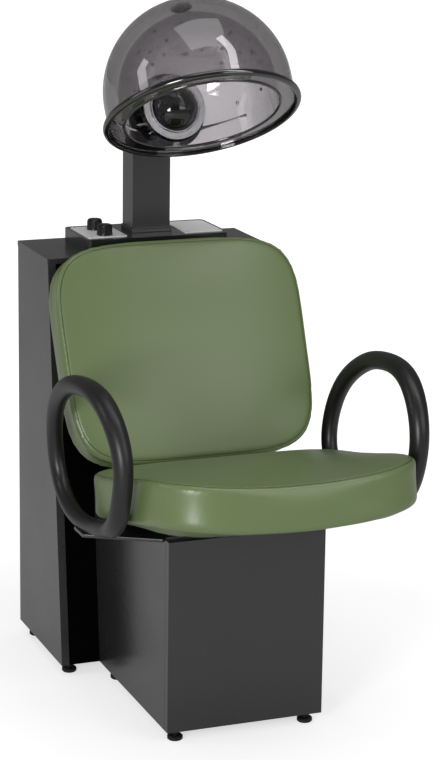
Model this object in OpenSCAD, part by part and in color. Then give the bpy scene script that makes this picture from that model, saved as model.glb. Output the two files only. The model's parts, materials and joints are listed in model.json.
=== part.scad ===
// Hooded dryer chair: a laminated cabinet and pedestal, a tilting hood on a
// square column, and a padded seat with a reclined back and loop arms.
// The origin is at floor level under the middle of the chair. The chair faces -Y.

/* [Overall] */
// Depth from the back of the cabinet to the front edge of the seat
overall_d = 944; // [930:1:990]
// Gap between neighbouring pieces
gap = 0.3; // [0.2:0.1:0.5]
// Radial clearance of turning pins and shafts
fit = 0.05; // [0.03:0.01:0.08]

/* [Cabinet] */
// Width over the side panels
cabinet_w = 465; // [420:1:520]
// Height of the cabinet top above the floor
cabinet_h = 823; // [790:1:860]
// Depth at the top
cabinet_top_d = 200; // [190:1:215]
// Depth at the bottom, where the front leans forward
cabinet_bottom_d = 284; // [260:1:300]
// Thickness of the side, front, back and bottom panels
panel_t = 16; // [12:1:19]
// Thickness of the top panel
top_t = 11; // [9:1:16]
// How far the top panel stands out past the sides and front
top_overhang = 1; // [0.5:0.5:4]
// How far the front panel is set back from the side edges
front_setback = 2; // [1:0.5:4]
// How far the back panel is set in
back_setback = 12; // [10:1:20]

/* [Feet] */
// Gap under the panels that the levelling feet leave
foot_h = 22; // [18:1:26]
// Diameter of a foot pad
foot_pad_d = 29; // [24:1:34]
// Height of a foot pad
foot_pad_h = 9; // [6:1:11]
// Diameter of the threaded stem
foot_stem_d = 8; // [6:1:8]
// Distance from the panels' inner faces to the middle of a foot
foot_inset = 8; // [8:1:20]

/* [Pedestal] */
// Width over the side panels
pedestal_w = 308; // [280:1:340]
// How far the seat's front stands before the pedestal
seat_overhang = 273; // [262:1:284]
// Height of the pedestal above the floor
pedestal_h = 388; // [370:1:390]

/* [Console] */
// Width of the raised tray
console_w = 296; // [284:1:330]
// Depth of the raised tray
console_d = 154; // [144:1:160]
// Height of the raised tray
console_h = 29; // [27:1:36]
// Wall of the raised tray
console_wall = 2.5; // [2:0.5:4]
// Corner radius of the raised tray
console_r = 12; // [6:1:18]
// Distance from the back of the cabinet to the middle of the tray
console_reach = 112; // [108:1:116]
// Width of the control plate and of the label plate
plate_w = 80; // [70:1:84]
// Depth of the two plates
plate_d = 118; // [100:1:124]
// Thickness of the two plates
plate_t = 1.5; // [1:0.5:2]
// Distance of the plates' middles from the centre line
plate_x = 100; // [96:1:104]
// Diameter of a knob
knob_d = 31; // [26:1:36]
// Height of a knob
knob_h = 21; // [16:1:26]
// Distance between the two knobs
knob_pitch = 62; // [50:1:70]
// Diameter of a knob shaft
shaft_d = 6; // [5:0.5:7]

/* [Column] */
// Width of the column
column_w = 78; // [70:1:86]
// Depth of the column
column_d = 61; // [56:1:66]
// Wall of the column tube
column_wall = 2.5; // [2:0.5:3]
// Height of the column's top above the floor
column_top = 1066; // [1040:1:1070]
// Height of the collar at the column's foot
collar_h = 9; // [6:1:14]
// How far the collar stands out around the column
collar_out = 3; // [2:0.5:5]

/* [Hood] */
// Outer radius of the smoked shell
shell_r = 176; // [170:1:180]
// Wall of the smoked shell
shell_t = 3; // [2.5:0.5:4]
// Outer radius of the clear liner
liner_r = 148; // [144:1:150]
// Wall of the clear liner
liner_t = 2.5; // [2:0.5:3]
// Height of the straight skirt below the domes
skirt_h = 46; // [40:1:52]
// Outer radius of the rolled rim
rim_r = 186; // [184:1:190]
// Height of the rolled rim
rim_h = 13; // [11:1:16]
// Thickness of the flange between the shell and the liner
flange_t = 2.5; // [2:0.5:3]
// Height of the domes' centre above the floor
hood_z = 1160; // [1150:1:1180]
// Distance from the back of the cabinet to the domes' centre
hood_reach = 389; // [385:1:400]
// Tilt of the hood at rest, with its front raised
hood_tilt = 32; // [28:1:34]
// Angle of the blower above the hood's own level
blower_elevation = 12; // [10:1:14]
// Radius of the ball cover over the blower
cover_r = 47; // [42:1:50]
// Outer radius of the chrome ring round the ball cover
ring_r = 62; // [58:1:64]
// Radius of an air hole in the liner
air_hole_r = 2.4; // [2:0.1:3]
// Number of air holes in a row
air_holes = 14; // [10:1:16]

/* [Hood pivot] */
// Radius of the pivot pin
pin_r = 8; // [6:0.5:9]
// Height of the pivot above the column's top
pivot_rise = 34; // [32:1:40]
// Width of the lug between the two ears
lug_w = 30; // [26:1:34]
// Thickness of an ear
ear_t = 6; // [5:0.5:8]

/* [Seat] */
// Width of the seat cushion
seat_w = 512; // [480:1:520]
// Clearance from the seat's rear end to the foot of the back
seat_gap = 37.2; // [32:0.2:44]
// Distance from the seat's widest line to its front edge
seat_front = 219; // [210:1:230]
// Height of the side band
seat_h = 84; // [76:1:92]
// Rise of the crowned top over the band
seat_crown = 14; // [8:1:20]
// How much higher the front corners are than the middle
seat_dish = 24; // [14:1:28]
// Slope of the seat, with its front raised
seat_pitch = 10; // [9:0.5:11]
// Clearance of the seat's rear end over the pedestal
seat_clear = 5.5; // [3:0.5:10]
// Thickness of the two plywood boards
board_t = 12; // [9:1:15]
// Distance from the cushions' edges to the boards
board_inset = 42; // [36:1:50]

/* [Back] */
// Width of the back cushion at its top
back_top_w = 500; // [480:1:504]
// Width of the back cushion at its bottom
back_bottom_w = 486; // [460:1:490]
// Height of the back cushion along its slope
back_h = 428; // [410:1:432]
// Thickness of the back cushion's band
back_t = 66; // [56:1:68]
// Rise of the crowned front
back_crown = 16; // [8:1:20]
// Slope of the back from the vertical
back_recline = 24; // [22:0.5:25]
// Height of the back's middle above the floor
back_z = 664; // [660:1:680]
// Distance from the back of the cabinet to the back's front face
back_reach = 354; // [352:1:362]

/* [Arms] */
// Length of an arm loop from front to back, between centre lines
arm_l = 396; // [385:1:405]
// Height of an arm loop between centre lines
arm_h = 277; // [265:1:290]
// Height of an arm loop's lowest centre line above the floor
arm_z = 403; // [402:1:408]
// Distance from the seat's front edge to an arm's front centre line
arm_setback = 154; // [146:1:160]
// Distance from the centre line to where an arm is rooted
arm_root_x = 273; // [272:1:278]
// How far an arm bows out from its root
arm_bow = 33; // [26:1:36]
// Width of an arm's section
arm_w = 34; // [30:1:35]
// Thickness of an arm's section
arm_t = 38; // [34:1:39]

/* [Hidden] */

laminate = "#2b2b2d";
black = "#161617";
steel = "#b9bbbf";
vinyl = "#6b7c58";
smoke = "#6f6b6c";
clear = "#c4c2c4";

fine = 96;
medium = 48;
coarse = 16;
hexagon = 6;
rib_sides = 12;
quarter = 90;
left = -1;
right = 1;
overrun = 2;

back_y = overall_d / 2;
front_y = -overall_d / 2;
carcass_top = cabinet_h - top_t;
cabinet_inner_w = cabinet_w - 2 * panel_t - 2 * gap;
front_lean = (cabinet_bottom_d - cabinet_top_d) / (carcass_top - foot_h);
pedestal_front_y = front_y + seat_overhang;
pedestal_inner_w = pedestal_w - 2 * panel_t - 2 * gap;
console_y = back_y - console_reach;
console_top = cabinet_h + console_h;
column_hole_r = 14;
column_rebate = 0.1;
fork_base_t = 5;
pivot_z = column_top + fork_base_t + pivot_rise;
hood_y = back_y - hood_reach;

function at_back(reach) = back_y - reach;
function reversed(list) = [for (i = [len(list) - 1 : -1 : 0]) list[i]];
function cabinet_front_y(z) = at_back(cabinet_bottom_d - front_lean * (z - foot_h));

// A flat plate whose outline is drawn in the Y-Z plane, centred on X = 0.
module side_plate(points, width) {
  translate([-width / 2, 0, 0])
    rotate([quarter, 0, quarter])
      linear_extrude(width) polygon(points);
}

// A box given by its lowest corner's Y and Z, centred on X = 0.
module centred_box(size, y, z) {
  translate([-size[0] / 2, y, z]) cube(size);
}

// Cabinet carcass

cabinet_side_outline = [
  [back_y, foot_h], [back_y, carcass_top],
  [cabinet_front_y(carcass_top), carcass_top], [cabinet_front_y(foot_h), foot_h]
];

module cabinet_side(side) {
  color(laminate)
    translate([side * (cabinet_w - panel_t) / 2, 0, 0])
      side_plate(cabinet_side_outline, panel_t);
}

module cabinet_top() {
  top_front = cabinet_front_y(carcass_top) - top_overhang;
  color(laminate)
    difference() {
      centred_box([cabinet_w + 2 * top_overhang, back_y - top_front, top_t], top_front, carcass_top);
      translate([0, at_back(column_reach), carcass_top - overrun])
        cylinder(h = top_t + 2 * overrun, r = column_hole_r, $fn = medium);
    }
}

// The front panel follows the lean and is set back between the sides.
module cabinet_front() {
  outer = front_setback;
  inner = front_setback + panel_t;
  low = foot_h;
  high = carcass_top - gap;
  color(black)
    side_plate([
      [cabinet_front_y(low) + outer, low], [cabinet_front_y(low) + inner, low],
      [cabinet_front_y(high) + inner, high], [cabinet_front_y(high) + outer, high]
    ], cabinet_inner_w);
}

cabinet_bottom_front = cabinet_front_y(foot_h + panel_t) + front_setback + panel_t + gap;
cabinet_back_face = back_y - back_setback;

module cabinet_bottom() {
  color(laminate)
    difference() {
      centred_box([cabinet_inner_w, cabinet_back_face - panel_t - gap - cabinet_bottom_front, panel_t],
                  cabinet_bottom_front, foot_h);
      for (p = cabinet_foot_places)
        insert_bore(p);
    }
}

louvre_count = 7;
louvre_w = 220;
louvre_slot_h = 7;
louvre_pitch = 20;
louvre_drop = 172;
louvre_z = carcass_top - louvre_drop;
inlet_from_side = 102.5;
inlet_x = inlet_from_side - cabinet_w / 2;
inlet_rise = 108;
inlet_z = foot_h + inlet_rise;
inlet_w = 48;
inlet_hole_h = 28;
inlet_flange = 5;
inlet_flange_t = 3;
inlet_depth = 24;
inlet_mouth_w = 26;
inlet_mouth_h = 18;
inlet_blade_w = 2;
inlet_blade_h = 6;
inlet_blade_pitch = 7;

module cabinet_back() {
  color(laminate)
    difference() {
      centred_box([cabinet_inner_w, panel_t, carcass_top - gap - foot_h],
                  cabinet_back_face - panel_t, foot_h);
      for (i = [0 : louvre_count - 1])
        centred_box([louvre_w, panel_t + 2 * overrun, louvre_slot_h],
                    cabinet_back_face - panel_t - overrun, louvre_z - i * louvre_pitch);
      translate([inlet_x, 0, 0])
        centred_box([inlet_w + 2 * gap, panel_t + 2 * overrun, inlet_hole_h + 2 * gap],
                    cabinet_back_face - panel_t - overrun, inlet_z - inlet_hole_h / 2 - gap);
    }
}

// Appliance inlet with a recessed mouth and three blades.
module power_inlet() {
  mouth_floor = cabinet_back_face - inlet_depth + inlet_flange_t + overrun;
  color(black)
    translate([inlet_x, 0, inlet_z]) {
      difference() {
        union() {
          centred_box([inlet_w, inlet_depth, inlet_hole_h],
                      cabinet_back_face - inlet_depth, -inlet_hole_h / 2);
          centred_box([inlet_w + 2 * inlet_flange, inlet_flange_t, inlet_hole_h + 2 * inlet_flange],
                      cabinet_back_face, -inlet_hole_h / 2 - inlet_flange);
        }
        centred_box([inlet_mouth_w, inlet_depth + overrun, inlet_mouth_h],
                    mouth_floor, -inlet_mouth_h / 2);
      }
      for (i = [-1 : 1])
        translate([i * inlet_blade_pitch, 0, 0])
          centred_box([inlet_blade_w, inlet_depth - inlet_flange_t - overrun, inlet_blade_h],
                      mouth_floor, -inlet_blade_h / 2);
    }
}

// Levelling feet

insert_r = 6;
insert_flange_r = 7.5;
insert_flange_t = 2;
stem_end = 8;
foot_nut_r = 8;
foot_nut_h = 6;
foot_neck_r = 6;
foot_edge = 2;

foot_x = cabinet_w / 2 - panel_t - foot_inset;
cabinet_foot_front_y = cabinet_bottom_front + foot_inset;
cabinet_foot_rear_y = cabinet_back_face - panel_t - foot_inset;
pedestal_foot_x = pedestal_w / 2 - panel_t - foot_inset;
pedestal_foot_front_y = pedestal_front_y + panel_t + foot_inset;
pedestal_foot_rear_y = at_back(cabinet_bottom_d) - panel_t - 3 * foot_inset;
cabinet_foot_places = [
  [-foot_x, cabinet_foot_front_y], [foot_x, cabinet_foot_front_y],
  [-foot_x, cabinet_foot_rear_y], [foot_x, cabinet_foot_rear_y]
];
pedestal_foot_places = [
  [-pedestal_foot_x, pedestal_foot_front_y], [pedestal_foot_x, pedestal_foot_front_y],
  [-pedestal_foot_x, pedestal_foot_rear_y], [pedestal_foot_x, pedestal_foot_rear_y]
];

// Clearance hole for a threaded insert in a bottom panel.
module insert_bore(place) {
  translate([place[0], place[1], foot_h - overrun])
    cylinder(h = panel_t + 2 * overrun, r = insert_r + gap, $fn = medium);
}

// Threaded inserts pressed into the two bottom panels from above.
module foot_inserts() {
  color(steel)
    for (p = concat(cabinet_foot_places, pedestal_foot_places))
      translate([p[0], p[1], foot_h])
        difference() {
          union() {
            cylinder(h = panel_t, r = insert_r, $fn = medium);
            translate([0, 0, panel_t])
              cylinder(h = insert_flange_t, r = insert_flange_r, $fn = medium);
          }
          translate([0, 0, -overrun])
            cylinder(h = panel_t + insert_flange_t + 2 * overrun, r = foot_stem_d / 2 + fit, $fn = medium);
        }
}

// A foot: a pad with a soft edge, a neck, a hexagonal grip and the stem.
module foot(place) {
  color(black)
    translate([place[0], place[1], 0]) {
      rotate_extrude($fn = medium)
        polygon([
          [0, 0], [foot_pad_d / 2 - foot_edge, 0], [foot_pad_d / 2, foot_edge],
          [foot_pad_d / 2, foot_pad_h - foot_edge], [foot_pad_d / 2 - foot_edge, foot_pad_h],
          [foot_neck_r, foot_pad_h], [foot_neck_r, foot_h - foot_nut_h - gap],
          [0, foot_h - foot_nut_h - gap]
        ]);
      translate([0, 0, foot_h - foot_nut_h - gap])
        cylinder(h = foot_nut_h, r = foot_nut_r, $fn = hexagon);
      cylinder(h = foot_h + panel_t + stem_end, r = foot_stem_d / 2, $fn = medium);
    }
}

// Pedestal under the seat

module pedestal_front() {
  color(laminate)
    centred_box([pedestal_w, panel_t, pedestal_h - foot_h], pedestal_front_y, foot_h);
}

module pedestal_side(side) {
  start = pedestal_front_y + panel_t + gap;
  color(laminate)
    translate([side * (pedestal_w - panel_t) / 2, 0, 0])
      side_plate([
        [start, foot_h], [start, pedestal_h],
        [cabinet_front_y(pedestal_h) + front_setback - gap, pedestal_h],
        [cabinet_front_y(foot_h) + front_setback - gap, foot_h]
      ], panel_t);
}

module pedestal_top() {
  start = pedestal_front_y + panel_t + gap;
  low = pedestal_h - panel_t;
  color(laminate)
    side_plate([
      [start, low], [start, pedestal_h],
      [cabinet_front_y(pedestal_h) + front_setback - gap, pedestal_h],
      [cabinet_front_y(low) + front_setback - gap, low]
    ], pedestal_inner_w);
}

module pedestal_bottom() {
  start = pedestal_front_y + panel_t + gap;
  color(laminate)
    difference() {
      side_plate([
        [start, foot_h], [start, foot_h + panel_t],
        [cabinet_front_y(foot_h + panel_t) + front_setback - gap, foot_h + panel_t],
        [cabinet_front_y(foot_h) + front_setback - gap, foot_h]
      ], pedestal_inner_w);
      for (p = pedestal_foot_places)
        insert_bore(p);
    }
}

// Console

knob_shift = -6;
knob_front_y = console_y - knob_pitch / 2 + knob_shift;
knob_rear_y = console_y + knob_pitch / 2 + knob_shift;
shaft_boss = 9;
console_floor = console_h - console_wall;
timer_size = [40, 40, 20];
switch_size = [34, 34, 16];
knob_grip_count = 24;
knob_grip_r = 1;
knob_grip_inset = 1.5;
knob_top_inset = 2;
knob_skirt_h = 4;
knob_cap_depth = 1;
plate_screw_r = 2.2;
plate_screw_h = 1.2;
plate_screw_inset = 6;
plate_r = 4;
knob_x = -plate_x;

// A plate with rounded corners, its lowest face at z = 0.
module rounded_plate(size, r) {
  linear_extrude(size[2])
    rounded_outline(size, r);
}

module rounded_outline(size, r) {
  square([size[0] - 2 * r, size[1]], center = true);
  square([size[0], size[1] - 2 * r], center = true);
  for (x = [-1, 1], y = [-1, 1])
    translate([x * (size[0] / 2 - r), y * (size[1] / 2 - r)])
      circle(r = r, $fn = medium);
}

module knob_bores(r, low, h) {
  for (y = [knob_front_y, knob_rear_y])
    translate([knob_x, y, low])
      cylinder(h = h, r = r, $fn = medium);
}

module console_tray() {
  color(black)
    difference() {
      translate([0, console_y, cabinet_h])
        rounded_plate([console_w, console_d, console_h], console_r);
      translate([0, console_y, cabinet_h - overrun])
        rounded_plate([console_w - 2 * console_wall, console_d - 2 * console_wall, console_floor + overrun],
                      console_r - console_wall);
      knob_bores(shaft_boss / 2, cabinet_h + console_floor - overrun, console_wall + 2 * overrun);
      translate([0, at_back(column_reach), cabinet_h])
        cylinder(h = console_h + overrun, r = column_hole_r, $fn = medium);
    }
}

module control_plate() {
  color(steel)
    difference() {
      translate([-plate_x, console_y, console_top])
        rounded_plate([plate_w, plate_d, plate_t], plate_r);
      knob_bores(shaft_boss / 2, console_top - overrun, plate_t + 2 * overrun);
    }
}

module label_plate() {
  color(steel)
    translate([plate_x, console_y, console_top])
      rounded_plate([plate_w, plate_d, plate_t], plate_r);
}

// One small screw at each corner of the two plates.
module plate_screws() {
  color(steel)
    for (side = [left, right], x = [-1, 1], y = [-1, 1])
      translate([side * plate_x + x * (plate_w / 2 - plate_screw_inset),
                 console_y + y * (plate_d / 2 - plate_screw_inset), console_top + plate_t])
        cylinder(h = plate_screw_h, r = plate_screw_r, $fn = medium);
}

// A switch body hung under the tray with a bore for its shaft.
module switch_body(size, y) {
  color(smoke)
    difference() {
      translate([knob_x, y - size[1] / 2, cabinet_h + console_floor - gap - size[2]])
        centred_box(size, 0, 0);
      translate([knob_x, y, cabinet_h + console_floor - size[2] / 2])
        cylinder(h = size[2], r = shaft_d / 2 + fit, $fn = medium);
    }
}

module knob_shaft(size, y) {
  foot_z = cabinet_h + console_floor - size[2] / 2 + gap;
  color(steel)
    translate([knob_x, y, foot_z])
      cylinder(h = console_top + plate_t + gap + knob_h / 2 - foot_z, r = shaft_d / 2, $fn = medium);
}

// A ribbed knob with a skirt, a shallow cap recess and a shaft bore.
module knob(y) {
  r = knob_d / 2;
  body_r = r - knob_grip_inset;
  color(black)
    translate([knob_x, y, console_top + plate_t + gap])
      difference() {
        union() {
          cylinder(h = knob_skirt_h, r = r, $fn = fine);
          rotate_extrude($fn = fine)
            polygon([
              [0, 0], [body_r, 0], [body_r, knob_h - knob_top_inset],
              [body_r - knob_top_inset, knob_h], [0, knob_h]
            ]);
          for (i = [0 : knob_grip_count - 1])
            rotate([0, 0, i * 4 * quarter / knob_grip_count])
              translate([body_r, 0, knob_skirt_h / 2])
                cylinder(h = knob_h - knob_skirt_h - knob_top_inset, r = knob_grip_r, $fn = rib_sides);
        }
        translate([0, 0, -overrun])
          cylinder(h = knob_h / 2 + overrun + gap, r = shaft_d / 2 + fit, $fn = medium);
        translate([0, 0, knob_h - knob_cap_depth])
          cylinder(h = knob_cap_depth + overrun, r = r / 2, $fn = medium);
      }
}

// Column

column_offset = 2;
column_reach = console_reach - column_offset;

module column_tube() {
  base = console_top;
  color(laminate)
    translate([0, at_back(column_reach), 0])
      difference() {
        centred_box([column_w, column_d, column_top - base], -column_d / 2, base);
        centred_box([column_w - 2 * column_wall, column_d - 2 * column_wall, column_top - base + 2 * overrun],
                    -column_d / 2 + column_wall, base - overrun);
      }
}

module column_collar() {
  outer_w = column_w + 2 * collar_out;
  outer_d = column_d + 2 * collar_out;
  color(black)
    translate([0, at_back(column_reach), console_top])
      difference() {
        rounded_plate([outer_w, outer_d, collar_h], collar_out);
        centred_box([column_w + 2 * column_rebate, column_d + 2 * column_rebate, collar_h + 2 * overrun],
                    -column_d / 2 - column_rebate, -overrun);
      }
}

ear_r = 19;
lug_r = 17;
lug_foot_shares = [0.14, 0.74];
pin_head_r = 13;
pin_head_h = 6;
pivot_play = 0.4;
ear_x = lug_w / 2 + pivot_play + ear_t / 2;

// Fork on the column's top: a base plate and two ears with pin bores.
module hood_fork() {
  y = at_back(column_reach);
  color(black)
    difference() {
      union() {
        centred_box([column_w, column_d, fork_base_t], y - column_d / 2, column_top);
        for (side = [left, right])
          translate([side * ear_x, 0, 0]) {
            centred_box([ear_t, 2 * ear_r, pivot_z - column_top - fork_base_t], y - ear_r,
                        column_top + fork_base_t);
            translate([-ear_t / 2, y, pivot_z])
              rotate([0, quarter, 0])
                cylinder(h = ear_t, r = ear_r, $fn = fine);
          }
      }
      translate([-ear_x - ear_t, y, pivot_z])
        rotate([0, quarter, 0])
          cylinder(h = 2 * ear_x + 2 * ear_t, r = pin_r + fit, $fn = fine);
    }
}

// Pivot pin with a head at one end and a nut at the other.
module pivot_pin() {
  reach = ear_x + ear_t / 2 + gap;
  color(steel)
    translate([0, at_back(column_reach), pivot_z])
      rotate([0, quarter, 0]) {
        translate([0, 0, -reach - pin_head_h])
          cylinder(h = 2 * reach + 2 * pin_head_h, r = pin_r, $fn = fine);
        translate([0, 0, -reach - pin_head_h])
          cylinder(h = pin_head_h, r = pin_head_r, $fn = fine);
        translate([0, 0, reach])
          cylinder(h = pin_head_h, r = pin_head_r, $fn = hexagon);
      }
}

// Hood

module in_hood() {
  translate([0, hood_y, hood_z])
    rotate([-hood_tilt, 0, 0])
      children();
}

// The blower's axis runs backwards out of the domes' centre.
module in_blower() {
  in_hood()
    rotate([-(quarter - blower_elevation), 0, 0])
      children();
}

housing_r = 60;
housing_wall = 3;
blower_hole_r = housing_r - housing_wall;

// The housing starts clear of both the dome and the skirt below it.
housing_start = max(
  sqrt(shell_r * shell_r - blower_hole_r * blower_hole_r) + gap,
  (shell_r + gap - blower_hole_r * sin(blower_elevation)) / cos(blower_elevation)
);
housing_behind = 62;
housing_end = shell_r + housing_behind;
housing_depth = housing_end - housing_start;
housing_flange_r = 74;
housing_flange_t = 3;
housing_vent_count = 16;
housing_vent_w = 5;
cap_hole_r = 7;
cap_r = 20;
cap_t = 4;
cap_stem_clear = 0.1;

// A dome with a straight skirt: everything within r of the dome's centre or of its axis below it.
module dome(r, skirt) {
  intersection() {
    sphere(r = r, $fn = fine);
    translate([-r, -r, 0]) cube([2 * r, 2 * r, r]);
  }
  translate([0, 0, -skirt])
    cylinder(h = skirt, r = r, $fn = fine);
}

module blower_bore(r) {
  rotate([-(quarter - blower_elevation), 0, 0])
    translate([0, 0, liner_r / 2])
      cylinder(h = shell_r, r = r, $fn = fine);
}

module outer_shell() {
  color(smoke, 0.5)
    in_hood()
      difference() {
        dome(shell_r, skirt_h);
        dome(shell_r - shell_t, skirt_h + overrun);
        blower_bore(blower_hole_r);
        cylinder(h = shell_r + overrun, r = cap_hole_r, $fn = medium);
      }
}

// Cap at the crown, with a stem through the shell.
module vent_cap() {
  color(black)
    in_hood() {
      intersection() {
        difference() {
          sphere(r = shell_r + cap_t, $fn = fine);
          sphere(r = shell_r + gap, $fn = fine);
        }
        cylinder(h = shell_r + 2 * cap_t, r = cap_r, $fn = medium);
      }
      translate([0, 0, shell_r - shell_t - overrun])
        cylinder(h = shell_t + overrun + cap_t / 2, r = cap_hole_r - cap_stem_clear, $fn = medium);
    }
}

// Black rolled rim round the outside of the shell's edge.
module hood_rim() {
  inner = shell_r + gap;
  bead = rim_h / 2;
  color(black)
    in_hood()
      translate([0, 0, -skirt_h])
        rotate_extrude($fn = fine)
          difference() {
            translate([rim_r - bead, 0]) circle(r = bead, $fn = medium);
            translate([0, -rim_h]) square([inner, 2 * rim_h]);
          }
}

// Ring that closes the gap between shell and liner at the mouth.
module hood_flange() {
  color(smoke, 0.6)
    in_hood()
      translate([0, 0, -skirt_h])
        difference() {
          cylinder(h = flange_t, r = shell_r - shell_t - gap, $fn = fine);
          translate([0, 0, -overrun])
            cylinder(h = flange_t + 2 * overrun, r = liner_r + gap, $fn = fine);
        }
}

air_rows = [6, 22, 38, 54];
air_row_turn_share = 0.5;

// Air holes in rows round the liner, each row turned by half a pitch.
module air_bores() {
  pitch = 4 * quarter / air_holes;
  for (row = [0 : len(air_rows) - 1], i = [0 : air_holes - 1])
    rotate([0, 0, (i + air_row_turn_share * row) * pitch])
      rotate([-(quarter - air_rows[row]), 0, 0])
        if (cos((i + air_row_turn_share * row) * pitch) < cos(blower_keepout) || row > 2)
          translate([0, 0, liner_r / 2])
            cylinder(h = liner_r, r = air_hole_r, $fn = coarse);
}

blower_keepout = 38;
liner_hole_r = 55;

module inner_liner() {
  color(clear, 0.4)
    in_hood()
      difference() {
        dome(liner_r, skirt_h);
        dome(liner_r - liner_t, skirt_h + overrun);
        blower_bore(liner_hole_r);
        air_bores();
      }
}

// Dark bead under the liner's edge.
module liner_lip() {
  bead = 3;
  color(black)
    in_hood()
      translate([0, 0, -skirt_h])
        rotate_extrude($fn = fine)
          translate([liner_r - liner_t / 2, 0])
            intersection() {
              circle(r = bead, $fn = medium);
              translate([-bead, -bead]) square([2 * bead, bead]);
            }
}

ring_t = 3;
ring_back = sqrt(pow(liner_r - liner_t, 2) - ring_r * ring_r) - gap;
ring_front = ring_back - ring_t;
ring_roll = 2;
ring_screw_count = 6;
ring_screw_r = 3;
ring_screw_h = 2;
cover_sink = 10;
cover_centre = ring_front + cover_sink;
cover_wall = 2.5;
cover_base_r = sqrt(cover_r * cover_r - pow(cover_centre - ring_front, 2));

// Chrome ring on the liner's inner face, with a raised inner edge.
module cover_ring() {
  inner = cover_base_r + gap;
  color("#d8dadd")
    in_blower()
      rotate_extrude($fn = fine)
        polygon([
          [inner, ring_front - ring_roll], [inner + ring_roll, ring_front - ring_roll],
          [inner + 2 * ring_roll, ring_front], [ring_r, ring_front], [ring_r, ring_back], [inner, ring_back]
        ]);
}

module ring_screws() {
  color(steel)
    in_blower()
      for (i = [0 : ring_screw_count - 1])
        rotate([0, 0, i * 4 * quarter / ring_screw_count])
          translate([(ring_r + cover_base_r + ring_roll) / 2 + ring_roll / 2, 0, ring_front - ring_screw_h])
            cylinder(h = ring_screw_h, r = ring_screw_r, $fn = medium);
}

// Ball cover over the blower, hollow, seated in the ring.
module blower_cover() {
  color("#0c0c0d")
    in_blower()
      difference() {
        translate([0, 0, cover_centre]) sphere(r = cover_r, $fn = fine);
        translate([0, 0, cover_centre]) sphere(r = cover_r - cover_wall, $fn = fine);
        translate([-cover_r, -cover_r, ring_front])
          cube([2 * cover_r, 2 * cover_r, 2 * cover_r]);
      }
}

heater_t = 2;
heater_r = 51;
heater_inner_r = 24;
coil_r = 38;
coil_wire_r = 3.5;

// Heater: a flat carrier ring with the element bedded on it.
module heater_ring() {
  base = ring_back + gap;
  color(steel)
    in_blower()
      union() {
        translate([0, 0, base])
          difference() {
            cylinder(h = heater_t, r = heater_r, $fn = fine);
            translate([0, 0, -overrun])
              cylinder(h = heater_t + 2 * overrun, r = heater_inner_r, $fn = fine);
          }
        translate([0, 0, base + heater_t])
          rotate_extrude($fn = fine)
            translate([coil_r, 0]) circle(r = coil_wire_r, $fn = medium);
      }
}

fan_clear = 18;
fan_front = ring_back + fan_clear;
fan_r = 50;
fan_plate_t = 2;
fan_depth = 18;
fan_hub_r = 12;
fan_blades = 16;
fan_blade_t = 1.6;
fan_blade_l = 18;
fan_shaft_r = 4;
motor_r = 34;
motor_gap_shaft = 9;
motor_front = fan_front + fan_depth + motor_gap_shaft;
motor_end = housing_end - housing_wall - gap;
motor_bore_depth = 14;

// Fan wheel with straight blades round its edge.
module fan_wheel() {
  color(steel)
    in_blower()
      translate([0, 0, fan_front])
        difference() {
          union() {
            translate([0, 0, fan_depth - fan_plate_t])
              cylinder(h = fan_plate_t, r = fan_r, $fn = fine);
            cylinder(h = fan_depth, r = fan_hub_r, $fn = medium);
            for (i = [0 : fan_blades - 1])
              rotate([0, 0, i * 4 * quarter / fan_blades])
                translate([fan_r - fan_blade_l - fan_blade_t, -fan_blade_t / 2, 0])
                  cube([fan_blade_l, fan_blade_t, fan_depth - fan_plate_t / 2]);
          }
          translate([0, 0, -overrun])
            cylinder(h = fan_depth + 2 * overrun, r = fan_shaft_r + fit, $fn = medium);
        }
}

module fan_shaft() {
  color(steel)
    in_blower()
      translate([0, 0, fan_front])
        cylinder(h = motor_front + motor_bore_depth - gap - fan_front, r = fan_shaft_r, $fn = medium);
}

module blower_motor() {
  color(smoke)
    in_blower()
      difference() {
        translate([0, 0, motor_front])
          cylinder(h = motor_end - motor_front, r = motor_r, $fn = fine);
        translate([0, 0, motor_front - overrun])
          cylinder(h = motor_bore_depth + overrun, r = fan_shaft_r + fit, $fn = medium);
      }
}

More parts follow.
